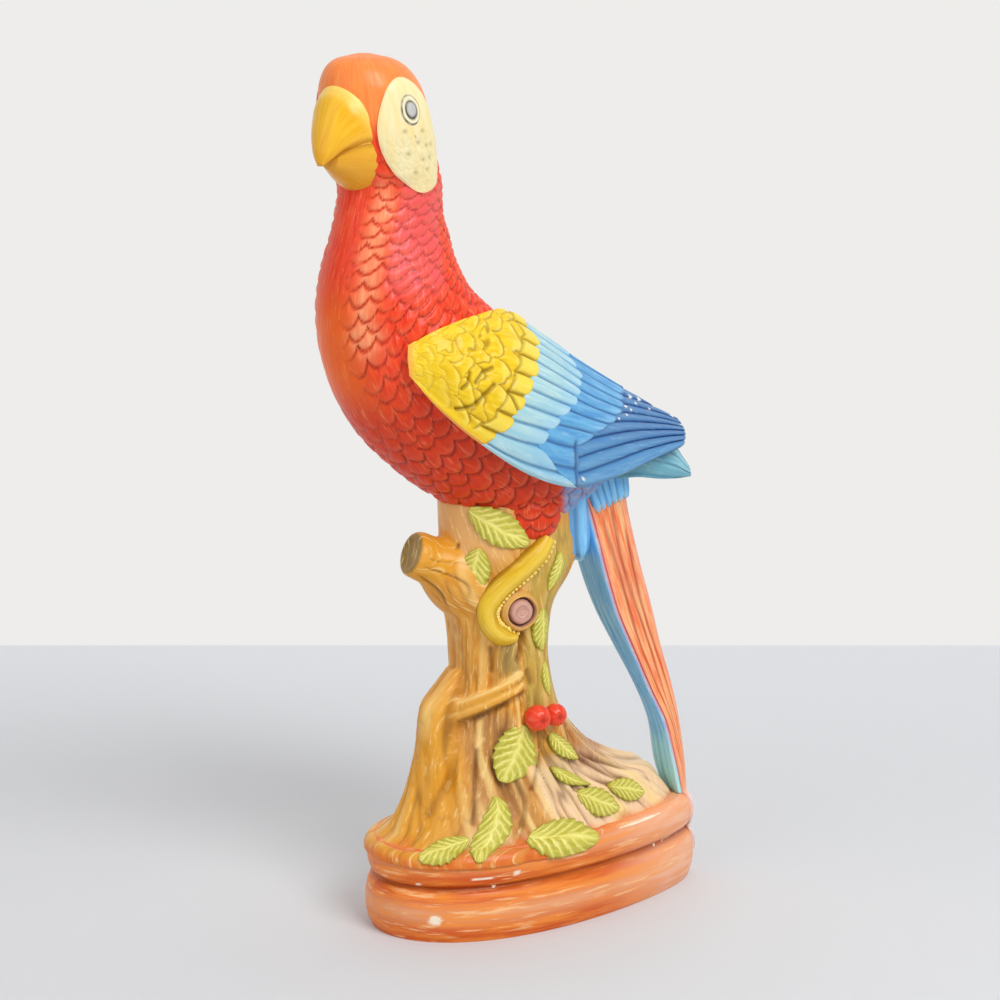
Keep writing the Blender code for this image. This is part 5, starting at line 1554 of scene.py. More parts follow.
def body_loft() -> Loft:
    """The bird's plain skin from rump to crown, in the row frame."""
    stations = []
    plain = len(BODY_STATIONS) - TURNING_STATIONS
    for i, (y_front, z_front, y_back, z_back, half) in enumerate(BODY_STATIONS):
        turn = HEAD_TURN * max(0, i - plain) / TURNING_STATIONS
        length, rise = (y_back - y_front) / 2, (z_front - z_back) / 2
        centre = (0.0, (y_front + y_back) / 2, (z_front + z_back) / 2)
        depth = (math.sin(turn) * length, -math.cos(turn) * length, rise)
        stations.append((centre, depth, (math.cos(turn) * half, math.sin(turn) * half, 0.0), 0.0))
    for height, forward, half_length, half_width in HEAD_STATIONS:
        centre = np.array([0, NECK_AXIS_Y, height]) + AHEAD * forward
        stations.append((centre, AHEAD * half_length, ASIDE * half_width, 0.0))
    return Loft(stations, BIRD_AT)


@dataclass
class Torso:
    """The moulded shell of breast, belly, neck and crown, and the thighs."""

    skin: Loft
    rows: int = 300
    columns: int = 320

    def _feather_rows(self, s: Array) -> Array:
        """How many rows of feathers lie between the crown and a place along the skin."""
        fine = steps(600)
        walk = self.skin.point(fine, np.full(600, math.radians(60)))
        step = np.linalg.norm(np.diff(walk, axis=0), axis=1)
        pitch = 0.0050 + 0.0022 * ease(0.52, 0.34, (fine[1:] + fine[:-1]) / 2)
        counted = np.concatenate([[0.0], np.cumsum(step / pitch)])
        return counted[-1] - np.interp(s, fine, counted)

    def build(self) -> list[Piece]:
        """Makes the shell and both thighs."""
        return [self._shell(), *(self._thigh(side) for side in Side)]

    def _shell(self) -> Piece:
        """The shell: carved scallops under the paint, smooth down the throat and over the crown."""
        s = np.concatenate([self.skin.even(self.rows)[:-1], [0.994, 0.998, 1.0]])[:, None]
        angle = turns(self.columns, -math.pi)[None]
        s, angle = np.broadcast_arrays(s, angle)
        degrees = np.abs(np.degrees(angle))
        place = self.skin.point(s, angle)
        height = place[..., 2] - PERCH
        around = 16.5 + 6.5 * ease(0.54, 0.30, s)
        drift = 0.24 * GRAIN.at(place, 60)
        u = self._feather_rows(s) + 0.26 * GRAIN.at(place + 0.5, 70)
        v = angle / (2 * math.pi) * around + drift + 32
        lump, rim, groove, lot = Scales(jitter=0.2).carve(u, v)
        throat = ease(34, 14, degrees - 14 * ease(0.10, 0.06, height)) * ease(0.036, 0.070, height)
        crown = ease(0.160, 0.178, height)
        seam = ease(168, 178, degrees)
        bare = np.clip(np.maximum.reduce([throat * 0.92, crown * 0.97, seam]), 0, 1)
        depth = np.interp(s, [0.0, 0.06, 0.25, 0.40, 0.60], [0.0005, 0.0013, 0.0015, 0.0011, 0.00075])
        carved = (1 - bare)
        swell = 0.0003 * GRAIN.layered(place, 90, 2)
        lift = (lump - 0.55) * depth * carved + swell * (1 - crown)
        grid = place + self.skin.normal(s, angle) * lift[..., None]
        cap = grid[-1:].mean(axis=1, keepdims=True)
        up = np.array([0, 0, 0.0004])
        grid = np.concatenate(
            [grid, cap + (grid[-1:] - cap) * 0.66 + up, cap + (grid[-1:] - cap) * 0.3 + 1.5 * up]
        )
        column = bell(degrees - 42 - 8 * GRAIN.at(place, 120), 13) * ease(0.080, 0.095, height)
        neck = ease(0.166, 0.150, height)
        pink = ease(52, 66, degrees) * ease(124, 108, degrees)
        pink = pink * ease(0.108, 0.120, height) * ease(0.170, 0.158, height)
        chest = ease(58, 22, degrees - 8 * GRAIN.at(place, 60)) * ease(0.055, 0.080, height)
        rump = ease(0.0115, 0.0155, place[..., 1] - CENTRE_Y + 0.53 * np.abs(place[..., 0]))
        masks = {
            "belly": ease(0.085, 0.055, height),
            "orange": chest * ease(0.125, 0.095, height) * neck,
            "pink": pink,
            "crown": ease(0.176, 0.186, height),
            "rim": rim * carved * (0.75 + 0.25 * lot),
            "light": column * neck * ease(0.25, 0.7, lump) * carved,
            # Painted shadow along the feather tips.
            "groove": groove * carved * (0.8 + 0.2 * lot) * np.interp(s, [0.3, 0.5, 0.6], [1.0, 0.8, 0.65]),
            "rump": rump * ease(0.060, 0.050, height),
            "flow_u": u * 0.006, "flow_v": angle * 0.03, "wear": 0.03 + 0 * s,
        }
        masks = {name: np.concatenate([mask, mask[-1:], mask[-1:]]) for name, mask in masks.items()}
        return SCARLET.dress("body", sleeve(grid, masks), "body_shell")

    def _thigh(self, side: Side) -> Piece:
        """The feathered bulge over one foot."""
        polar, turn = lattice(np.linspace(0.03, math.pi - 0.03, 90), turns(110))
        out = np.stack([np.sin(polar) * np.cos(turn), np.sin(polar) * np.sin(turn), np.cos(polar)], axis=-1)
        lump, rim, groove, _ = Scales(reach=0.6).carve(polar * 2.7 + 4, turn / (2 * math.pi) * 8 + 16)
        radii = np.array(THIGH_RADII) + (0.0009 * (lump - 0.6) * np.sin(polar))[..., None]
        grid = BIRD_AT + (np.array(THIGH_CENTRE) + out * radii) * np.array([side.value, 1, 1])
        masks = {
            # The groove is painted shadow along the feather tips.
            "rim": rim, "groove": groove * np.sin(polar), "belly": rim * 0 + 1.0,
            "flow_u": polar * 0.014, "flow_v": turn * 0.012,
        }
        return SCARLET.dress(f"thigh_{side.word}", sleeve(grid, masks))


@dataclass
class Head:
    """The two halves of the beak, the bare cheeks and the eyes."""

    skin: Loft

    def _cheek(self, side: Side, height: float, degrees: float) -> Callable[[Array, Array, Array], Array]:
        """A function from steps up and back on the cheek to points above the head's skin."""
        turn = math.radians(degrees)
        _, around = self.skin.scale(float(self.skin.share_at(height + PERCH)), turn)

        def place(up: Array, back: Array, lift: Array) -> Array:
            s = self.skin.share_at(height + PERCH + up)
            angle = side.value * (turn + back / around)
            return self.skin.point(s, angle) + self.skin.normal(s, angle) * np.asarray(lift)[..., None]

        return place

    def _beak(self, stations: list[tuple], upper: bool) -> Clay:
        """One half of the beak, with a round outer side and a nearly flat mouth side."""
        along = steps(110)
        rows = catmull(stations, along)
        turn = turns(128)[None]
        axis, rise = np.array([0, NECK_AXIS_Y, 0]), np.array([0, 0, 1])
        mouth = axis + AHEAD * rows[:, 2:3] + rise * rows[:, 3:4]
        depth = axis + AHEAD * rows[:, :1] + rise * rows[:, 1:2] - mouth
        up, out = np.cos(turn), np.sin(turn)
        reach = np.where(up > 0, np.abs(up) ** 0.92, MOUTH_BULGE * up)
        grid = mouth[:, None] + depth[:, None] * reach[..., None]
        grid = grid + ASIDE * (rows[:, 4:5] * out)[..., None]
        place, up, turn = np.broadcast_arrays(along[:, None], up, turn)
        amber = np.maximum(ease(0.45, 0.0, np.abs(up)) * 0.55, ease(0.55, 1.0, place) * 0.6)
        masks = {
            "cere": ease(0.42, 0.20, place) * upper,
            "amber": amber * upper,
            # The lower half darkens towards its underside, partly its own colour and partly painted shade.
            "under": (ease(-0.3, 0.9, up) + 0.6) * (not upper),
            # Painted shadow along the mouth line.
            "groove": 0.75 * bell(up + 0.02, 0.075) * ease(0.0, 0.1, place),
            "flow_u": place * 0.05, "flow_v": turn * 0.015,
        }
        if upper:
            slit = bell(place - 0.235, 0.012) * bell(np.abs(np.degrees(turn) - 180) - 112, 8)
            masks["groove"] = np.maximum(masks["groove"], slit)
            masks["rim"] = bell(place - 0.30, 0.02)
            grid = grid - sleeve_normals(grid) * (0.0007 * slit + 0.00015 * masks["rim"])[..., None]
        return sleeve(grid + BIRD_AT, masks)

    def _patch(self, side: Side) -> Piece:
        """The bare oval cheek with its pits."""
        place = self._cheek(side, *PATCH_PLACE)
        rings, columns = 60, 128
        share = steps(rings)[:, None]
        angle = turns(columns)[None]
        up = FACE_HALF_HEIGHT * share * np.cos(angle)
        back = FACE_HALF_WIDTH * share * np.sin(angle)
        pits = np.zeros(up.shape)
        for high, behind in CHEEK_PITS:
            away = np.hypot((up - high / 1000) / 1.0, (back - behind / 1000) / 1.25)
            pits = np.maximum(pits, bell(away, 0.00095))
        edge = 1.0 - 0.75 * np.broadcast_to(share, up.shape) ** 14
        rough = 0.00012 * GRAIN.layered(np.stack([up, back, 0 * up], -1), 300, 2)
        low = ease(0.004, -0.004, up)
        lump, _, crack, _ = Scales(reach=0.7, jitter=0.3, seed=3).carve(
            12 - up / 0.0030 + rough * 4000, back / 0.0034 + 9.3
        )
        lift = (
            PATCH_SEAT + PATCH_THICKNESS * edge + 0.0002 - 0.00055 * pits + rough + 0.00016 * low * (lump - 1)
        )
        masks = {
            "groove": np.maximum(pits, 0.38 * low * crack * ease(1.0, 0.85, share)),
            "rim": np.broadcast_to(ease(0.93, 1.0, share), up.shape),
            "flow_u": up, "flow_v": back,
        }
        clay = dish(place(up, back, lift), place(up, back, 0 * up - 0.0006), masks)
        return CREAM.dress(f"face_{side.word}", clay, f"face_patch_{side.word}")

    def _eye(self, side: Side) -> Piece:
        """The eye: an inked broken ring round a pupil with a pale core."""
        place = self._cheek(side, *EYE_PLACE)
        rings, columns = 64, 128
        share = np.broadcast_to(steps(rings)[:, None], (rings, columns))
        angle = np.broadcast_to(turns(columns)[None], (rings, columns))
        up, back = EYE_RADIUS * share * np.cos(angle), EYE_RADIUS * 0.80 * share * np.sin(angle)
        base = PATCH_SEAT + PATCH_THICKNESS
        rise = np.interp(
            share, [0, 0.45, 0.56, 0.66, 0.80, 0.92, 1.0], [1.1, 0.9, 0.45, 0.55, 0.80, 0.60, 0.1]
        )
        broken = 0.75 + 0.5 * GRAIN.at(np.stack([up, back, 0 * up], -1), 500)
        thick = 0.05 + 0.03 * ease(-0.5, 1.0, np.cos(angle - 2.4))
        ink = np.maximum(bell(share - 0.53, 1.6 * thick), bell(share - 0.90, 0.075) * np.clip(broken, 0, 1))
        masks = {
            "core": ease(0.52, 0.44, share), "ink": ink, "flow_u": up, "flow_v": back,
        }
        lift = base + 0.0010 * rise
        clay = dish(place(up, back, lift), place(up, back, 0 * up + base - 0.0008), masks)
        return EYE.dress(f"eye_{side.word}", clay)

    def build(self) -> list[Piece]:
        """Makes the beak, the cheeks and the eyes."""
        upper, lower = self._beak(UPPER_BEAK_STATIONS, True), self._beak(LOWER_BEAK_STATIONS, False)
        pieces = [BEAK.dress("upper_beak", upper), BEAK.dress("lower_beak", lower)]
        for side in Side:
            pieces += [self._patch(side), self._eye(side)]
        return pieces


# Wings

WING_THICKNESS = 0.0075
WING_TIP_THICKNESS = 0.0045
WING_RUN = 0.144
WING_SLIMNESS = 0.42
TUCK = 0.012

# Shoulder to tip: a point on the upper edge, the middle line and the lower edge
WING_STATIONS = [
    ((0.0325, -0.0765, 0.0920), (0.0345, -0.0780, 0.0870), (0.0350, -0.0770, 0.0810)),
    ((0.0345, -0.0634, 0.0990), (0.0395, -0.0660, 0.0860), (0.0395, -0.0670, 0.0670)),
    ((0.0270, -0.0410, 0.1030), (0.0405, -0.0525, 0.0840), (0.0415, -0.0480, 0.0505)),
    ((0.0155, -0.0235, 0.1025), (0.0388, -0.0345, 0.0795), (0.0405, -0.0240, 0.0350)),
    ((0.0045, -0.0015, 0.0905), (0.0335, -0.0095, 0.0690), (0.0365, 0.0000, 0.0270)),
    ((0.0030, 0.0200, 0.0765), (0.0265, 0.0155, 0.0575), (0.0305, 0.0240, 0.0280)),
    ((0.0025, 0.0450, 0.0615), (0.0175, 0.0420, 0.0485), (0.0225, 0.0460, 0.0320)),
    ((0.0030, 0.0720, 0.0460), (0.0090, 0.0720, 0.0415), (0.0140, 0.0680, 0.0360)),
]

# Edges between the colours, as (along the wing, down across it)
YELLOW_RIM = [(0.50, 0.0), (0.56, 0.17), (0.53, 0.43), (0.48, 0.62), (0.41, 0.79), (0.32, 0.94), (0.29, 1.0)]
FIRST_BLUE_RIM = [
    (0.67, 0.0), (0.70, 0.22), (0.67, 0.41), (0.64, 0.53), (0.57, 0.68), (0.515, 0.79), (0.49, 0.85),
    (0.52, 0.92), (0.58, 1.0),
]
PRIMARY_RIM = [(0.84, 0.0), (0.83, 0.15), (0.81, 0.38), (0.76, 0.56), (0.66, 0.73), (0.60, 0.80), (0.58, 1.0)]
CREASE = [(0.605, 0.76), (0.592, 0.85), (0.582, 0.92), (0.573, 1.0)]

# Lines between the primaries, as (down across at the crease, down across at the tip)
PRIMARY_LINES = [
    (-0.30, -0.90), (-0.10, -0.70), (0.10, -0.50), (0.24, -0.34), (0.36, -0.20), (0.46, -0.06), (0.55, 0.07),
    (0.64, 0.20), (0.72, 0.33), (0.80, 0.47), (0.87, 0.62), (0.94, 0.78), (1.02, 0.98), (1.20, 1.30),
]

# Gouges in the coverts, as runs of (along, down across)
GOUGES = [
    [(0.21, 0.88), (0.28, 0.78), (0.34, 0.66), (0.37, 0.60)],
    [(0.42, 0.62), (0.435, 0.70)],
    [(0.30, 0.62), (0.33, 0.54), (0.37, 0.50)],
    [(0.24, 0.70), (0.27, 0.64), (0.28, 0.56)],
]

# Chips at the tip of each wing, as (along, down across, size)
WING_CHIPS = [
    (0.86, 0.10, 0.010), (0.885, 0.06, 0.008), (0.93, 0.03, 0.010), (0.975, 0.05, 0.012), (0.91, 0.16, 0.007),
    (0.87, 0.18, 0.008), (0.83, 0.30, 0.008), (0.845, 0.32, 0.006), (0.825, 0.42, 0.006), (0.79, 0.50, 0.006),
    (0.99, 0.30, 0.008), (0.60, 0.96, 0.006),
]


def across_three(three: Sequence[Array], v: Array) -> Array:
    """A smooth curve through three rows of points at v = 0, 0.5 and 1."""
    first, middle, last = three
    v = np.asarray(v)[..., None]
    return first * (1 - v) * (1 - 2 * v) + middle * 4 * v * (1 - v) + last * v * (2 * v - 1)


def rim_at(rim: Sequence[tuple[float, float]], v: Array) -> Array:
    """How far along the wing a drawn edge lies, for places across it."""
    table = np.array(rim)
    order = np.argsort(table[:, 1])
    return np.interp(v, table[order, 1], table[order, 0])


def quills(q: Array) -> tuple[Array, Array]:
    """The rounded height of feathers side by side, and the groove between them, from a feather count."""
    share = q - np.floor(q)
    apart = np.minimum(share, 1 - share)
    return np.sin(math.pi * share) ** 0.55, bell(apart, 0.075)


@dataclass
class Wing:
    """One folded wing in three moulded layers of feathers."""

    side: Side
    columns: int = 178

    def face(self, u: Array, v: Array) -> Array:
        """The wing's plain outer face in the bird's frame, on the left side."""
        table = np.array(WING_STATIONS)
        return across_three([catmull(table[:, k], u) for k in range(3)], v)

    def at(self, u: Array, v: Array, lift: Array) -> Array:
        """Points off the wing's face, which stay on their own side of the middle plane."""
        step = 2e-3
        along = self.face(np.minimum(u + step, 1), v) - self.face(np.maximum(u - step, 0), v)
        around = self.face(u, v + step) - self.face(u, v - step)
        out = unit(np.cross(around, along))
        out = out * np.where(out[..., :1] * 0.5 + out[..., 2:3] > 0, 1.0, -1.0)
        points = self.face(u, v) + out * np.asarray(lift)[..., None]
        points[..., 0] = np.maximum(points[..., 0], SEAM / 2)
        return points * np.array([self.side.value, 1, 1]) + BIRD_AT

    def _layer(
        self,
        node_name: str,
        paint: Paint,
        span: tuple[Callable[[Array], Array], Callable[[Array], Array]],
        rows: int,
        shape: Callable[[Array, Array, Array], tuple[Array, Masks]],
    ) -> Piece:
        """Makes one layer between two lines across the wing.

        Args:
            node_name: The solid that it stands for, less the side.
            paint: Its finish.
            span: Where the layer starts and ends, from the place across.
            rows: Rows of points along it.
            shape: Gives lift and masks from along, across and the share of the layer's length.

        Returns:
            The finished layer.
        """
        share, v = lattice(steps(rows), steps(self.columns))
        first, last = (edge(v) for edge in span)
        u = first + share * (last - first)
        lift, masks = shape(u, v, share)
        edges = 1 - ease(0.0, 0.022, v) * ease(1.0, 0.978, v)
        thickness = WING_THICKNESS + (WING_TIP_THICKNESS - WING_THICKNESS) * np.maximum(0.0, 2 * u - 1)
        top, under = self.at(u, v, lift - 0.0011 * edges), self.at(u, v, -thickness)
        flow = self._spot(u, v)
        masks = {"flow_u": flow[..., 0], "flow_v": flow[..., 1], **masks}
        return paint.dress(f"{node_name}_{self.side.word}", slab(top, under, masks))

    @staticmethod
    def _spot(u: Array, v: Array) -> Array:
        """The place on the wing in metres, spread flat."""
        return np.stack([u * 0.14, v * 0.06, 0 * u], axis=-1)

    @staticmethod
    def _near(run: Sequence[tuple[float, float]], u: Array, v: Array) -> Array:
        """The distance to a run of straight strokes, in shares of the wing's length."""
        return near_line(np.stack([u, v * WING_SLIMNESS], axis=-1), np.array(run) * (1, WING_SLIMNESS))

    def _coverts(self, u: Array, v: Array, share: Array) -> tuple[Array, Masks]:
        """Yellow shoulder: gouged crescents, then a rim of rounded feathers, and a smooth leading edge."""
        place = self._spot(u, v)
        back = (self._covert_end(v) - u) * WING_RUN
        quill, gap = quills(v * 7.6 + 0.35 + 0.06 * GRAIN.at(place, 120))
        warp = 0.5 * GRAIN.layered(place, 130, 2)
        across = (v - 0.5) * np.interp(u, [0.0, 0.15, 0.35, 0.6], [1.5, 3.6, 5.6, 6.0]) + 1.3 * warp + 12
        lump, rim, groove, _ = Scales(reach=0.8, jitter=0.22, seed=9).carve(u * 16 + 1.1 * warp + 3, across)
        leading = np.maximum(ease(0.90, 0.96, v), ease(0.055, 0.02, u))
        shoulder = ease(0.30, 0.12, u + 0.06 * GRAIN.at(place, 80)) * (1 - leading)
        gouge = np.maximum.reduce([bell(self._near(run, u, v), 0.0055) for run in GOUGES])
        band = ease(0.0095, 0.0078, back)
        inner = (1 - band) * (1 - leading) * (1 - 0.75 * shoulder)
        band = band * (1 - leading)
        behind = bell(back - 0.0088, 0.0007) * (1 - leading)
        lift = 0.0012 + 0.0009 * band * quill - 0.0008 * band * gap + inner * (0.0012 * (lump - 0.5))
        lift = lift + 0.0007 * leading - 0.0013 * gouge - 0.0006 * behind
        lift = lift - 0.0016 * ease(0.0016, 0.0, back) * (1 - 0.3 * leading)
        low = np.clip(inner * ease(0.5, 0.1, lump) + ease(0.5, 0.9, v) * 0.5, 0, 1)
        masks = {
            # inner * groove is painted shadow along the carved feathers' tips.
            "groove": np.clip(
                np.maximum.reduce([band * gap, inner * groove * 0.55, gouge, behind * 0.7]), 0, 1
            ),
            "rim": np.clip(inner * rim + 0.7 * band * quill, 0, 1),
            "low": low * (1 - leading),
            "blush": np.maximum(bell(v - 0.992, 0.022), ease(0.045, 0.0, u)),
        }
        return lift, masks

    def _covert_end(self, v: Array) -> Array:
        """The yellow layer's rounded feather ends."""
        bow = np.abs(np.sin(math.pi * (v * 7.6 + 0.35))) ** 0.6
        return rim_at(YELLOW_RIM, v) + 0.008 * (bow - 0.6) * ease(1.0, 0.93, v)

    def _first_start(self, v: Array) -> Array:
        """Where the light blue layer starts, tucked under the yellow one."""
        return self._covert_end(v) - TUCK

    def _first_end(self, v: Array) -> Array:
        """The light blue layer's rounded feather ends."""
        bow = np.abs(np.sin(math.pi * (v * 10.4 + 0.2))) ** 0.6
        return rim_at(FIRST_BLUE_RIM, v) + 0.009 * (bow - 0.6) * ease(1.0, 0.9, v)

    def _flight_start(self, v: Array) -> Array:
        """Where the flight feathers start, tucked under the light blue layer."""
        return self._first_end(v) - TUCK

    def _secondaries(self, u: Array, v: Array, share: Array) -> tuple[Array, Masks]:
        """Light blue feathers with long fine lines."""
        wander = 0.25 * (1 - share) * np.sin(5 * v) + 0.05 * GRAIN.at(self._spot(u, v), 90)
        quill, gap = quills(v * 10.4 + 0.2 + wander)
        back = (self._first_end(v) - u) * WING_RUN
        deep = ease(0.35, 1.0, share) * 0.85 + 0.25 * ease(0.70, 0.95, v)
        lift = 0.0007 + 0.00075 * quill - 0.0006 * gap - 0.0014 * ease(0.0014, 0.0, back)
        masks = {
            "groove": np.clip(gap * 0.9 + 0.6 * ease(0.0011, 0.0, back), 0, 1),
            "rim": quill**3 * ease(0.010, 0.002, back) + 0.7 * bell(v - 0.985, 0.02),
            "deep": np.clip(deep + 0.5 * ease(0.75, 0.2, quill), 0, 1),
        }
        return lift, masks

    def _flight(self, u: Array, v: Array, share: Array) -> tuple[Array, Masks]:
        """Mid-blue feathers, the crease and the dark primaries."""
        place = self._spot(u, v)
        quill, gap = quills(v * 9.2 + 0.6 + 0.06 * GRAIN.at(place, 90))
        reach = np.clip((u - 0.58) / 0.42, 0.0, 1.0)
        lines = [low + reach * (high - low) for low, high in PRIMARY_LINES]
        fan = sum(np.clip((v - low) / (high - low), 0.0, 1.0) for low, high in zip(lines, lines[1:]))
        ridge, slit = quills(fan)
        edge = rim_at(PRIMARY_RIM, v) + 0.014 * (np.abs(np.sin(math.pi * (v * 9.2 + 0.6))) ** 0.6 - 0.6)
        primary = ease(-0.002, 0.004, u - edge)
        crease = bell(self._near(CREASE, u, v), 0.006) * ease(0.74, 0.79, v)
        plain = 0.0006 + 0.0006 * quill - 0.0005 * gap
        lift = (1 - primary) * plain + primary * (0.0006 * ridge - 0.0007 * slit)
        lift = lift - 0.0008 * crease - 0.0008 * ease(0.992, 1.0, u)
        bare = np.zeros(u.shape)
        for u0, v0, size in WING_CHIPS:
            away = np.hypot(u - u0, (v - v0) * 0.35) / size + 0.4 * GRAIN.at(place, 1500)
            bare = np.maximum(bare, ease(0.75, 0.45, away))
        # The crease is painted dark as painted shadow where the primaries fold away.
        dark = [(1 - primary) * gap * 0.9, primary * slit, crease, 0.6 * bell(u - edge, 0.005)]
        masks = {
            "groove": np.clip(np.maximum.reduce(dark), 0, 1),
            "rim": np.clip(
                (1 - primary) * quill**3 * ease(0.05, 0.0, edge - u) + 0.5 * primary * ridge**4, 0, 1
            ),
            "primary": primary * (0.75 + 0.25 * ease(0.7, 1.0, u)) * (1 - 0.45 * ease(0.62, 0.98, v)),
            "bare": bare,
        }
        return lift, masks

    def build(self) -> list[Piece]:
        """Makes the wing's three layers."""
        return [
            self._layer("wing_coverts", YELLOW, (np.zeros_like, self._covert_end), 200, self._coverts),
            self._layer(
                "wing_secondaries", LIGHT_BLUE, (self._first_start, self._first_end), 120, self._secondaries
            ),
            self._layer("flight_feathers", DARK_BLUE, (self._flight_start, np.ones_like), 200, self._flight),
        ]


# Tail

RUMP_FRONT = 0.0120
TAIL_FOOT_INSET = 0.0053
TAIL_FRONT_EDGE = 0.0018
TAIL_FEATHER_THICKNESS = 0.0022
TAIL_STEP = 0.0004
TAIL_RIB = 0.0009
RIB_FADE_HALF_WIDTH = 0.0095
TIP_RELIEF = 0.0013
TIP_THICKNESS_SHARE = 0.32
UPPER_COVERT_THICKNESS = 0.0014
UPPER_COVERT_HEIGHTS = (0.0310, 0.0130)

# Share of the perch's height, swing of the front face, depth to the back ridge, half width
TAIL_STATIONS = [
    (1.190, 0.000, 0.0320, 0.0100), (1.130, 0.046, 0.0300, 0.0104), (1.041, 0.136, 0.0262, 0.0110),
    (0.895, 0.242, 0.0257, 0.0115), (0.772, 0.357, 0.0245, 0.0102), (0.655, 0.509, 0.0200, 0.0084),
    (0.550, 0.650, 0.0165, 0.0064), (0.444, 0.778, 0.0127, 0.0075), (0.330, 0.845, 0.0116, 0.0090),
    (0.270, 0.885, 0.0100, 0.0083), (0.215, 0.923, 0.0086, 0.0078), (0.160, 0.951, 0.0080, 0.0078),
    (0.110, 0.975, 0.0074, 0.0062), (0.066, 1.000, 0.0060, 0.0032),
]

# Distance behind the origin, lower face, upper face, half width
LOBE_STATIONS = [
    (0.0340, 0.0235, 0.0500, 0.0130), (0.0460, 0.0232, 0.0480, 0.0125), (0.0580, 0.0212, 0.0430, 0.0110),
    (0.0680, 0.0200, 0.0365, 0.0085), (0.0745, 0.0194, 0.0290, 0.0055), (0.0792, 0.0190, 0.0235, 0.0025),
]
UNDER_STATIONS = [
    (-0.0125, 0.0100, 0.0225, 0.0090), (-0.0080, 0.0040, 0.0240, 0.0135), (0.0000, 0.0000, 0.0245, 0.0155),
    (0.0150, -0.0020, 0.0225, 0.0180), (0.0330, -0.0040, 0.0200, 0.0190),
]


@dataclass
class TailSection:
    """The tail's outline at some heights: front face, front corner, back ridge, and its side's normal."""

    front: Array
    corner: Array
    ridge: Array
    out: Array


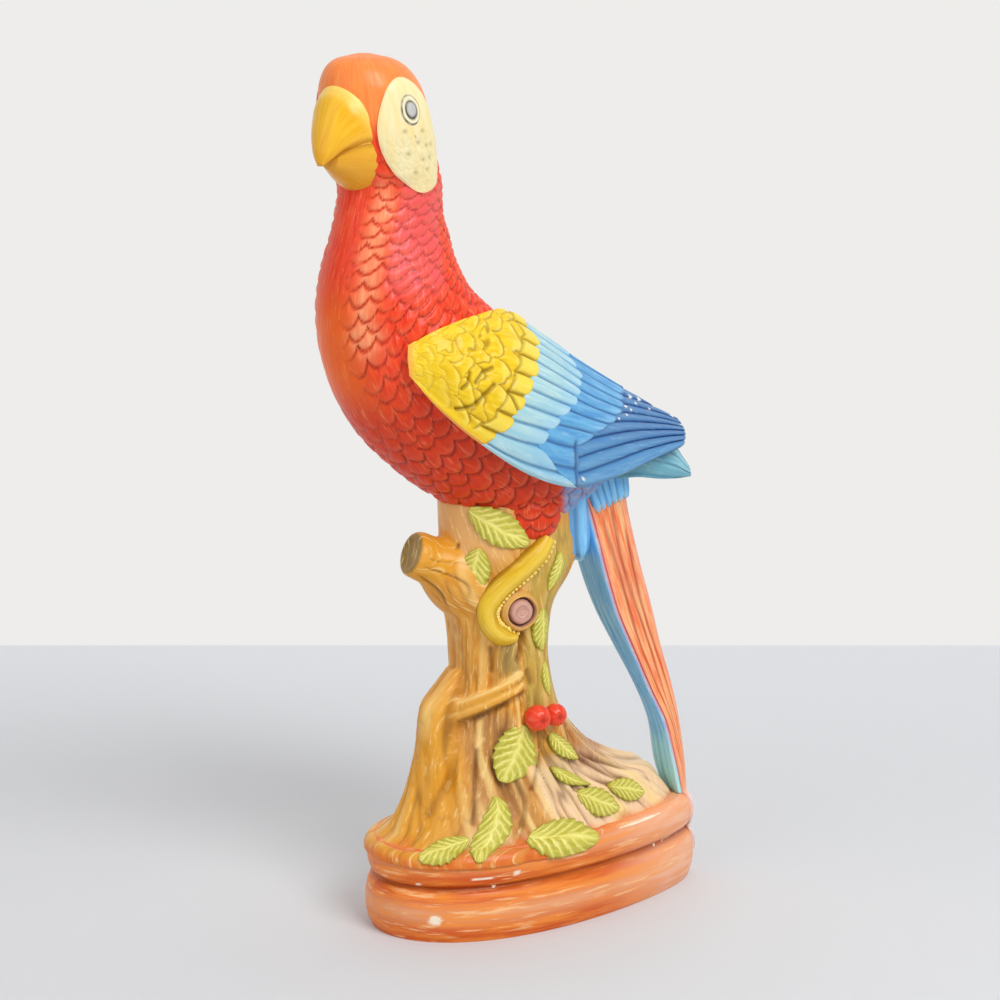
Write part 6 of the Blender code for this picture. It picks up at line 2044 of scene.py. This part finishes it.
@dataclass
class Tail:
    """The long tail: a blue core, a red feather on each side, and the blue coverts about its root."""

    rows: int = 420

    def section(self, height: Array) -> TailSection:
        """The outline at heights above the plinth's foot."""
        table = np.array(TAIL_STATIONS)
        row = catmull(table, halving(lambda s: catmull(table, s)[..., 0] * PERCH > height, np.shape(height)))
        front = RUMP_FRONT + row[..., 1] * (PLINTH_HALF_LENGTH - TAIL_FOOT_INSET - RUMP_FRONT)
        corner = np.stack([row[..., 3], front + TAIL_FRONT_EDGE], axis=-1)
        ridge = np.stack([np.full(front.shape, SEAM / 2), front + row[..., 2]], axis=-1)
        run = unit(ridge - corner)
        return TailSection(front, corner, ridge, np.stack([run[..., 1], -run[..., 0]], axis=-1))

    def _core(self) -> Piece:
        """The blue core with long soft lines down its front face."""
        z = np.linspace(TAIL_STATIONS[0][0] * PERCH, PLINTH_HEIGHT + SEAM, self.rows)
        cut = self.section(z)
        inset = TAIL_FEATHER_THICKNESS + SEAM
        inner = np.stack([cut.corner[:, 0] - inset / cut.out[:, 0], cut.corner[:, 1] + TAIL_STEP], axis=-1)
        tip = np.stack([0 * z, cut.ridge[:, 1] - inset / cut.out[:, 1]], axis=-1)
        edge = np.stack([cut.corner[:, 0], cut.front], axis=-1)
        half = [edge, cut.corner, inner, tip]
        mirror = np.array([-1, 1])
        face = np.linspace(-1, 1, 61)
        across = edge[:, None] * np.stack([face, np.ones(61)], axis=-1)[None]
        middle = bell(face, 0.09) * ease(0.86, 0.70, z / PERCH)[:, None]
        third = bell(np.abs(face) - 0.5, 0.06)[None] * 0.6
        hollow = np.maximum(middle, third)
        bulge = 0.0012 * (1 - face**2)[None] - 0.0009 * hollow
        across[..., 1] -= bulge * ease(0.24, 0.30, z / PERCH)[:, None]
        ring = [
            across, *(corner[:, None] for corner in half[1:]),
            *((corner * mirror)[:, None] for corner in half[2:0:-1])
        ]
        flat = np.concatenate(ring, axis=1)
        grid = np.concatenate([flat, np.broadcast_to(z[:, None, None], (*flat.shape[:2], 1))], axis=-1)
        extra = flat.shape[1] - 61
        share = (z / PERCH)[:, None]

        def pad(mask: Array) -> Array:
            """A mask of the front face, with 0 on the other faces."""
            return np.concatenate([mask, np.zeros((len(z), extra))], axis=1)

        masks = {
            "groove": pad(hollow * 0.45),
            "rim": pad(bell(np.abs(face) - 0.98, 0.05)[None] * ease(0.45, 0.3, share)),
            "foot": np.broadcast_to(ease(0.46, 0.33, share), flat.shape[:2]),
            "edge": ease(0.26, 0.40, share) * ease(1.10, 1.04, share) * (1 - pad(np.ones(across.shape[:2]))),
            "flow_u": np.broadcast_to(z[:, None], flat.shape[:2]), "flow_v": flat[..., 0],
        }
        return TAIL_BLUE.dress("tail_core", sleeve(grid + np.array([0, CENTRE_Y, 0]), masks))

    def _over_plinth(self, x: Array, y: Array, z: Array) -> tuple[Array, Array]:
        """Pushes points out so that the tail's tip lies on the plinth's end."""
        line = Plinth().outline()[:110]
        inset = np.interp(z, line[:, 1], line[:, 0]) - TIP_RELIEF
        half = PLINTH_HALF_WIDTH * (1 - PLINTH_TAPER * np.minimum(y / PLINTH_HALF_LENGTH, 1.0))
        share = np.hypot(y / (PLINTH_HALF_LENGTH - inset), x / (half - inset))
        share = np.where((share < 1) & (z < PLINTH_HEIGHT), share, 1.0)
        return x / share, y / share

    def _feather(self, side: Side) -> Piece:
        """One long red feather with three streaks and pink edges."""
        z = np.linspace(TAIL_STATIONS[0][0] * PERCH, TAIL_STATIONS[-1][0] * PERCH, self.rows)
        cut = self.section(z)
        q = steps(73)[None]
        share = (z / PERCH)[:, None]
        wide = np.minimum(1.0, (cut.corner[:, :1] / RIB_FADE_HALF_WIDTH) ** 2)
        streaks = np.zeros((len(z), 73))
        for centre, top, foot in ((0.26, 1.06, 0.30), (0.50, 1.10, 0.24), (0.74, 1.02, 0.20)):
            wander = centre + 0.04 * np.sin(14 * share + 9 * centre)
            width = 0.028 + 0.03 * bell(share - 0.9, 0.2)
            streaks = np.maximum(
                streaks,
                bell(q - wander, width) * ease(top, top - 0.08, share) * ease(foot, foot + 0.1, share)
            )
        rib = TAIL_RIB * wide * (np.sin(math.pi * q) ** 0.7 * 0.9 - 0.6 * streaks)
        start = cut.corner + np.array([0.0, TAIL_STEP + SEAM])
        outer = (
            start[:, None] + (cut.ridge - start)[:, None] * q[..., None] + cut.out[:, None] * rib[..., None]
        )
        x, y = self._over_plinth(outer[..., 0], outer[..., 1], np.broadcast_to(z[:, None], rib.shape))
        thickness = np.minimum(TAIL_FEATHER_THICKNESS, TIP_THICKNESS_SHARE * cut.corner[:, 0])
        first = start - np.stack([thickness / cut.out[:, 0], 0 * z], axis=-1)
        last = np.stack([np.full(len(z), SEAM / 2), cut.ridge[:, 1] - thickness / cut.out[:, 1]], axis=-1)
        inner = np.stack([last, (first + last) / 2, first], axis=1)
        flat = np.concatenate([np.stack([x, y], axis=-1), inner], axis=1)
        flat[..., 0] = side.value * np.maximum(flat[..., 0], SEAM / 2)
        grid = np.concatenate([flat, np.broadcast_to(z[:, None, None], (*flat.shape[:2], 1))], axis=-1)

        def pad(mask: Array) -> Array:
            """A mask of the outer face, carried on to the inner one."""
            return np.concatenate([mask, mask[:, -1:], mask[:, -1:], mask[:, :1]], axis=1)

        edges = np.maximum(bell(q, 0.05), bell(q - 0.98, 0.07)) + 0 * share
        beside = sum(
            bell(q - 0.33 - 0.24 * k - 0.04 * np.sin(14 * share + 9 * (0.26 + 0.24 * k)), 0.035)
            for k in range(3)
        )
        masks = {
            "groove": pad(streaks), "pink": pad(np.clip(edges + 0.3 * beside * ease(1.1, 0.9, share), 0, 1)),
            "bare": pad(ease(0.27, 0.215, share + 0.02 * GRAIN.at(grid[:, :73], 140))),
            "flow_u": pad(np.broadcast_to(z[:, None], rib.shape)), "flow_v": pad(q * 0.03 + 0 * share),
        }
        clay = sleeve(grid + np.array([0, CENTRE_Y, 0]), masks)
        return TAIL_RED.dress(f"tail_feather_{side.word}", clay)

    def _uppertail(self) -> Piece:
        """The short striated blue feathers that wrap the tail's back, with a ragged lower edge."""
        top, low = UPPER_COVERT_HEIGHTS
        u, v = lattice(steps(50), steps(193))
        count = 12
        tooth = np.abs(((v * count) % 1.0) * 2 - 1)
        ragged = 0.0040 * (1 - tooth) - 0.0016 + 0.004 * np.abs(2 * v - 1)
        z = PERCH + top + u * (low - ragged + 0.0016 - top)
        q = (2 * v - 1) * 0.94
        cut = self.section(z)
        side = np.where(q >= 0, 1.0, -1.0)
        square = cut.out * np.minimum(1.0, 4 * np.abs(q))[..., None]
        square = unit(square + np.array([0.0, 1.0]) * np.maximum(0.0, 1 - 4 * np.abs(q))[..., None])
        gap = bell(1 - tooth, 0.25)
        lift = TAIL_RIB + SEAM + UPPER_COVERT_THICKNESS * (1 - 0.55 * gap) * ease(1.0, 0.93, u) + 0.0002

        def off(rise: Array) -> Array:
            flat = (
                cut.corner + (cut.ridge - cut.corner) * (1 - np.abs(q))[..., None] + square * rise[..., None]
            )
            return np.stack([side * flat[..., 0], flat[..., 1] + CENTRE_Y, z], axis=-1)

        masks = {
            "groove": gap * 0.8, "deep": ease(0.3, 0.9, tooth) * 0.6, "rim": ease(0.9, 1.0, u),
            "flow_u": z, "flow_v": v * 0.05,
        }
        return TAIL_BLUE.dress("uppertail", slab(off(lift), off(0 * u + 0.0004), masks), "uppertail_coverts")

    def _undertail(self) -> Piece:
        """The blue skirt under the tail's root, in two lobes."""
        stations = [
            ((0.0, (front + back) / 2, height), (0.0, (front - back) / 2, 0.0), (half, 0.0, 0.0), 0.0)
            for height, front, back, half in UNDER_STATIONS
        ]
        loft = Loft(stations, BIRD_AT)
        s, angle = lattice(steps(120), turns(200))
        fold = np.cos(7 * angle) * 0.5 + 0.5
        lobes = bell(np.abs(np.degrees(np.where(angle > math.pi, angle - 2 * math.pi, angle))) - 88, 9)
        gap = np.maximum(ease(0.25, 0.0, fold) * 0.7, lobes)
        grid = loft.point(s, angle) + loft.normal(s, angle) * (0.0004 * fold - 0.0013 * lobes)[..., None]
        masks = {
            "groove": gap * ease(0.02, 0.12, s), "deep": ease(0.2, 0.9, s), "rim": ease(0.12, 0.02, s),
            "flow_u": s * 0.05, "flow_v": angle * 0.015,
        }
        return TAIL_BLUE.dress("undertail", sleeve(grid, masks), "undertail_coverts")

    def _crossed_tips(self) -> Piece:
        """The crossed wing tips: a pointed wedge over the tail's root."""
        rows = catmull(LOBE_STATIONS, steps(120))
        y, low, high, half = rows.T
        middle = low + 0.4 * (high - low)
        corners = [(-0.85, low), (0.85, low), (1.0, middle), (0.5, high), (-0.5, high), (-1.0, middle)]
        points = [np.stack([x * half, y, z], axis=-1) for x, z in corners]
        sides = []
        for start, end in zip(points, points[1:] + points[:1]):
            for share in np.linspace(0, 1, 20, endpoint=False):
                sides.append(start + (end - start) * share)
        grid = np.stack(sides, axis=1)
        local = (grid[..., 2] - low[:, None]) / np.maximum(high - low, 1e-4)[:, None]
        line = bell(((local + 0.15 * y[:, None] / 0.08) * 3.2) % 1.0 - 0.5, 0.07)
        grid = grid - sleeve_normals(grid) * (0.0005 * line)[..., None]
        masks = {
            "groove": line * 0.8, "deep": ease(0.45, 0.0, local),
            "flow_u": np.broadcast_to(y[:, None], local.shape),
            "flow_v": local * 0.02,
        }
        return TEAL.dress("crossed_tips", sleeve(grid + BIRD_AT, masks), "crossed_wing_tips")

    def build(self) -> list[Piece]:
        """Makes the whole tail."""
        feathers = [self._feather(side) for side in Side]
        return [self._core(), *feathers, self._uppertail(), self._undertail(), self._crossed_tips()]


# Setting


@dataclass(frozen=True)
class Camera:
    """The photograph's point of view."""

    azimuth: float = math.radians(62)
    elevation: float = math.radians(11)
    distance: float = 1.050
    aim_height: float = 0.190
    lens: float = 85.176
    shift: tuple[float, float] = (-0.036, -0.0085)

    @property
    def back(self) -> Vector:
        """The direction from the figurine to the camera."""
        level = math.cos(self.elevation)
        return Vector((
            math.sin(self.azimuth) * level, -math.cos(self.azimuth) * level, math.sin(self.elevation)
        ))

    def build(self) -> None:
        """Adds the camera."""
        data = bpy.data.cameras.new("camera")
        data.lens, data.sensor_width = self.lens, 36.0
        data.shift_x, data.shift_y = self.shift
        data.clip_start, data.clip_end = 0.05, 20.0
        made = linked("camera", data)
        made.location = Vector((0, CENTRE_Y, self.aim_height)) + self.back * self.distance
        made.rotation_euler = (-self.back).to_track_quat("-Z", "Y").to_euler()
        bpy.context.scene.camera = made


WALL_TONE: Colour = (238, 237, 235)
# The floor's tone is painted lighter towards the wall: painted light.
FLOOR_NEAR: Colour = (216, 217, 219)
FLOOR_FAR_PAINTED_LIGHT: Colour = (224, 226, 229)
SKY_TONE: Colour = (244, 246, 250)
FLOOR_LIGHT_FADE = (0.10, 0.50)


@dataclass
class Studio:
    """The pale floor and wall, and soft light mostly from the camera's right."""

    camera: Camera
    wall_distance: float = 0.467

    def _sweep(self) -> Piece:
        """The floor, the wall behind it, and more floor behind the wall for a view from there."""
        away = Vector((-self.camera.back.x, -self.camera.back.y, 0)).normalized()
        side = Vector((-away.y, away.x, 0))
        wall, bend, far = self.wall_distance, 0.012, 2.2
        profile = [
            (-far, 0.0), (wall - bend, 0.0), (wall, bend), (wall, far), (wall + 0.001, 0.0), (far, 0.0)
        ]
        points = [
            Vector((0, CENTRE_Y, height)) + away * reach + side * across
            for reach, height in profile
            for across in (-2.5, 2.5)
        ]
        mesh = bpy.data.meshes.new("floor_and_wall")
        mesh.from_pydata(points, [], [(k, k + 2, k + 3, k + 1) for k in (0, 2, 4, 8)])
        mesh.materials.append(self._paper("floor_paper", (FLOOR_NEAR, FLOOR_FAR_PAINTED_LIGHT), 0.12, away))
        mesh.materials.append(self._paper("wall_paper", (WALL_TONE, WALL_TONE), 1.0, away))
        mesh.polygons[1].material_index = mesh.polygons[2].material_index = 1
        return linked("floor_and_wall", mesh)

    @staticmethod
    def _paper(name: str, tones: tuple[Colour, Colour], shown: float, away: Vector) -> Material:
        """Matt paper that glows its tone to the camera and in reflections, and is clear from behind; the
        floor is painted lighter and glows more towards the wall, as painted light.

        Args:
            name: The material's name.
            tones: Its tone near the figurine and far from it, where the floor's is painted lighter.
            shown: How much of the tone is shown near by whatever the light.
            away: The way from the camera.

        Returns:
            The material.
        """
        paper = bpy.data.materials.new(name)
        paper.use_nodes = True
        wiring = Wiring(paper.node_tree)
        shader = paper.node_tree.nodes["Principled BSDF"]
        place = wiring.node("ShaderNodeTexCoord").outputs["Object"]
        reach = wiring.node("ShaderNodeVectorMath", {0: place, 1: away}, operation="DOT_PRODUCT")
        far = wiring.between(reach.outputs["Value"], *FLOOR_LIGHT_FADE)
        colour = wiring.blend(far, *(linear(tone) for tone in tones))
        wiring.feed(shader.inputs["Base Color"], colour)
        shader.inputs["Roughness"].default_value = 0.85
        rays = wiring.node("ShaderNodeLightPath").outputs
        seen = wiring.sum("MAXIMUM", rays["Is Camera Ray"], rays["Is Glossy Ray"])
        seen = wiring.sum("MAXIMUM", seen, rays["Is Transmission Ray"])
        # The paper glows its tone to the camera, the floor more towards the wall: painted light on the floor.
        share = wiring.times(seen, wiring.sum("MAXIMUM", shown, wiring.times(far, 0.7)))
        glow = wiring.node("ShaderNodeEmission", {"Color": colour, "Strength": 1.0}).outputs[0]
        front = wiring.node("ShaderNodeMixShader", {0: share, 1: shader.outputs[0], 2: glow}).outputs[0]
        behind = wiring.node("ShaderNodeNewGeometry").outputs["Backfacing"]
        clear = wiring.node("ShaderNodeBsdfTransparent").outputs[0]
        sides = {0: wiring.times(behind, rays["Is Camera Ray"]), 1: front, 2: clear}
        surface = paper.node_tree.nodes["Material Output"].inputs["Surface"]
        wiring.feed(surface, wiring.node("ShaderNodeMixShader", sides).outputs[0])
        return paper

    def _lamp(self, name: str, turn: float, rise: float, size: float, power: float) -> None:
        """A soft square lamp aimed at the bird.

        Args:
            name: The lamp's name.
            turn: Its direction from the camera, in degrees to the right.
            rise: Its elevation in degrees.
            size: Its side in metres.
            power: Its power in watts.
        """
        data = bpy.data.lights.new(name, "AREA")
        data.size, data.energy = size, power
        azimuth, level = self.camera.azimuth + math.radians(turn), math.cos(math.radians(rise))
        way = Vector((math.sin(azimuth) * level, -math.cos(azimuth) * level, math.sin(math.radians(rise))))
        made = linked(name, data)
        made.location = Vector((0, CENTRE_Y, 0.2)) + way * 1.6
        made.rotation_euler = (-way).to_track_quat("-Z", "Y").to_euler()

    def build(self) -> None:
        """Adds the floor, the lamps and the sky."""
        self._sweep()
        self._lamp("key", 34, 42, 0.8, 18)
        self._lamp("fill", -50, 22, 1.2, 5.0)
        self._lamp("top", 150, 72, 1.0, 3)
        world = bpy.context.scene.world or bpy.data.worlds.new("sky")
        bpy.context.scene.world = world
        world.use_nodes = True
        sky = world.node_tree.nodes["Background"]
        sky.inputs["Color"].default_value = linear(SKY_TONE)
        sky.inputs["Strength"].default_value = 0.42


def main() -> None:
    """Dresses every solid, then sets the camera and the light."""
    logging.basicConfig(level=logging.INFO, format="%(name)s %(message)s")
    skin, stump = body_loft(), Stump(stump_loft())
    builders = [
        Plinth(), stump, Growth(stump), Torso(skin), Head(skin), *(Wing(side) for side in Side), Tail()
    ]
    pieces = [piece for builder in builders for piece in builder.build()]
    LOG.info("%d pieces", len(pieces))
    bpy.context.scene.view_settings.view_transform = "Standard"
    camera = Camera()
    camera.build()
    Studio(camera).build()


if __name__ == "__main__":
    main()
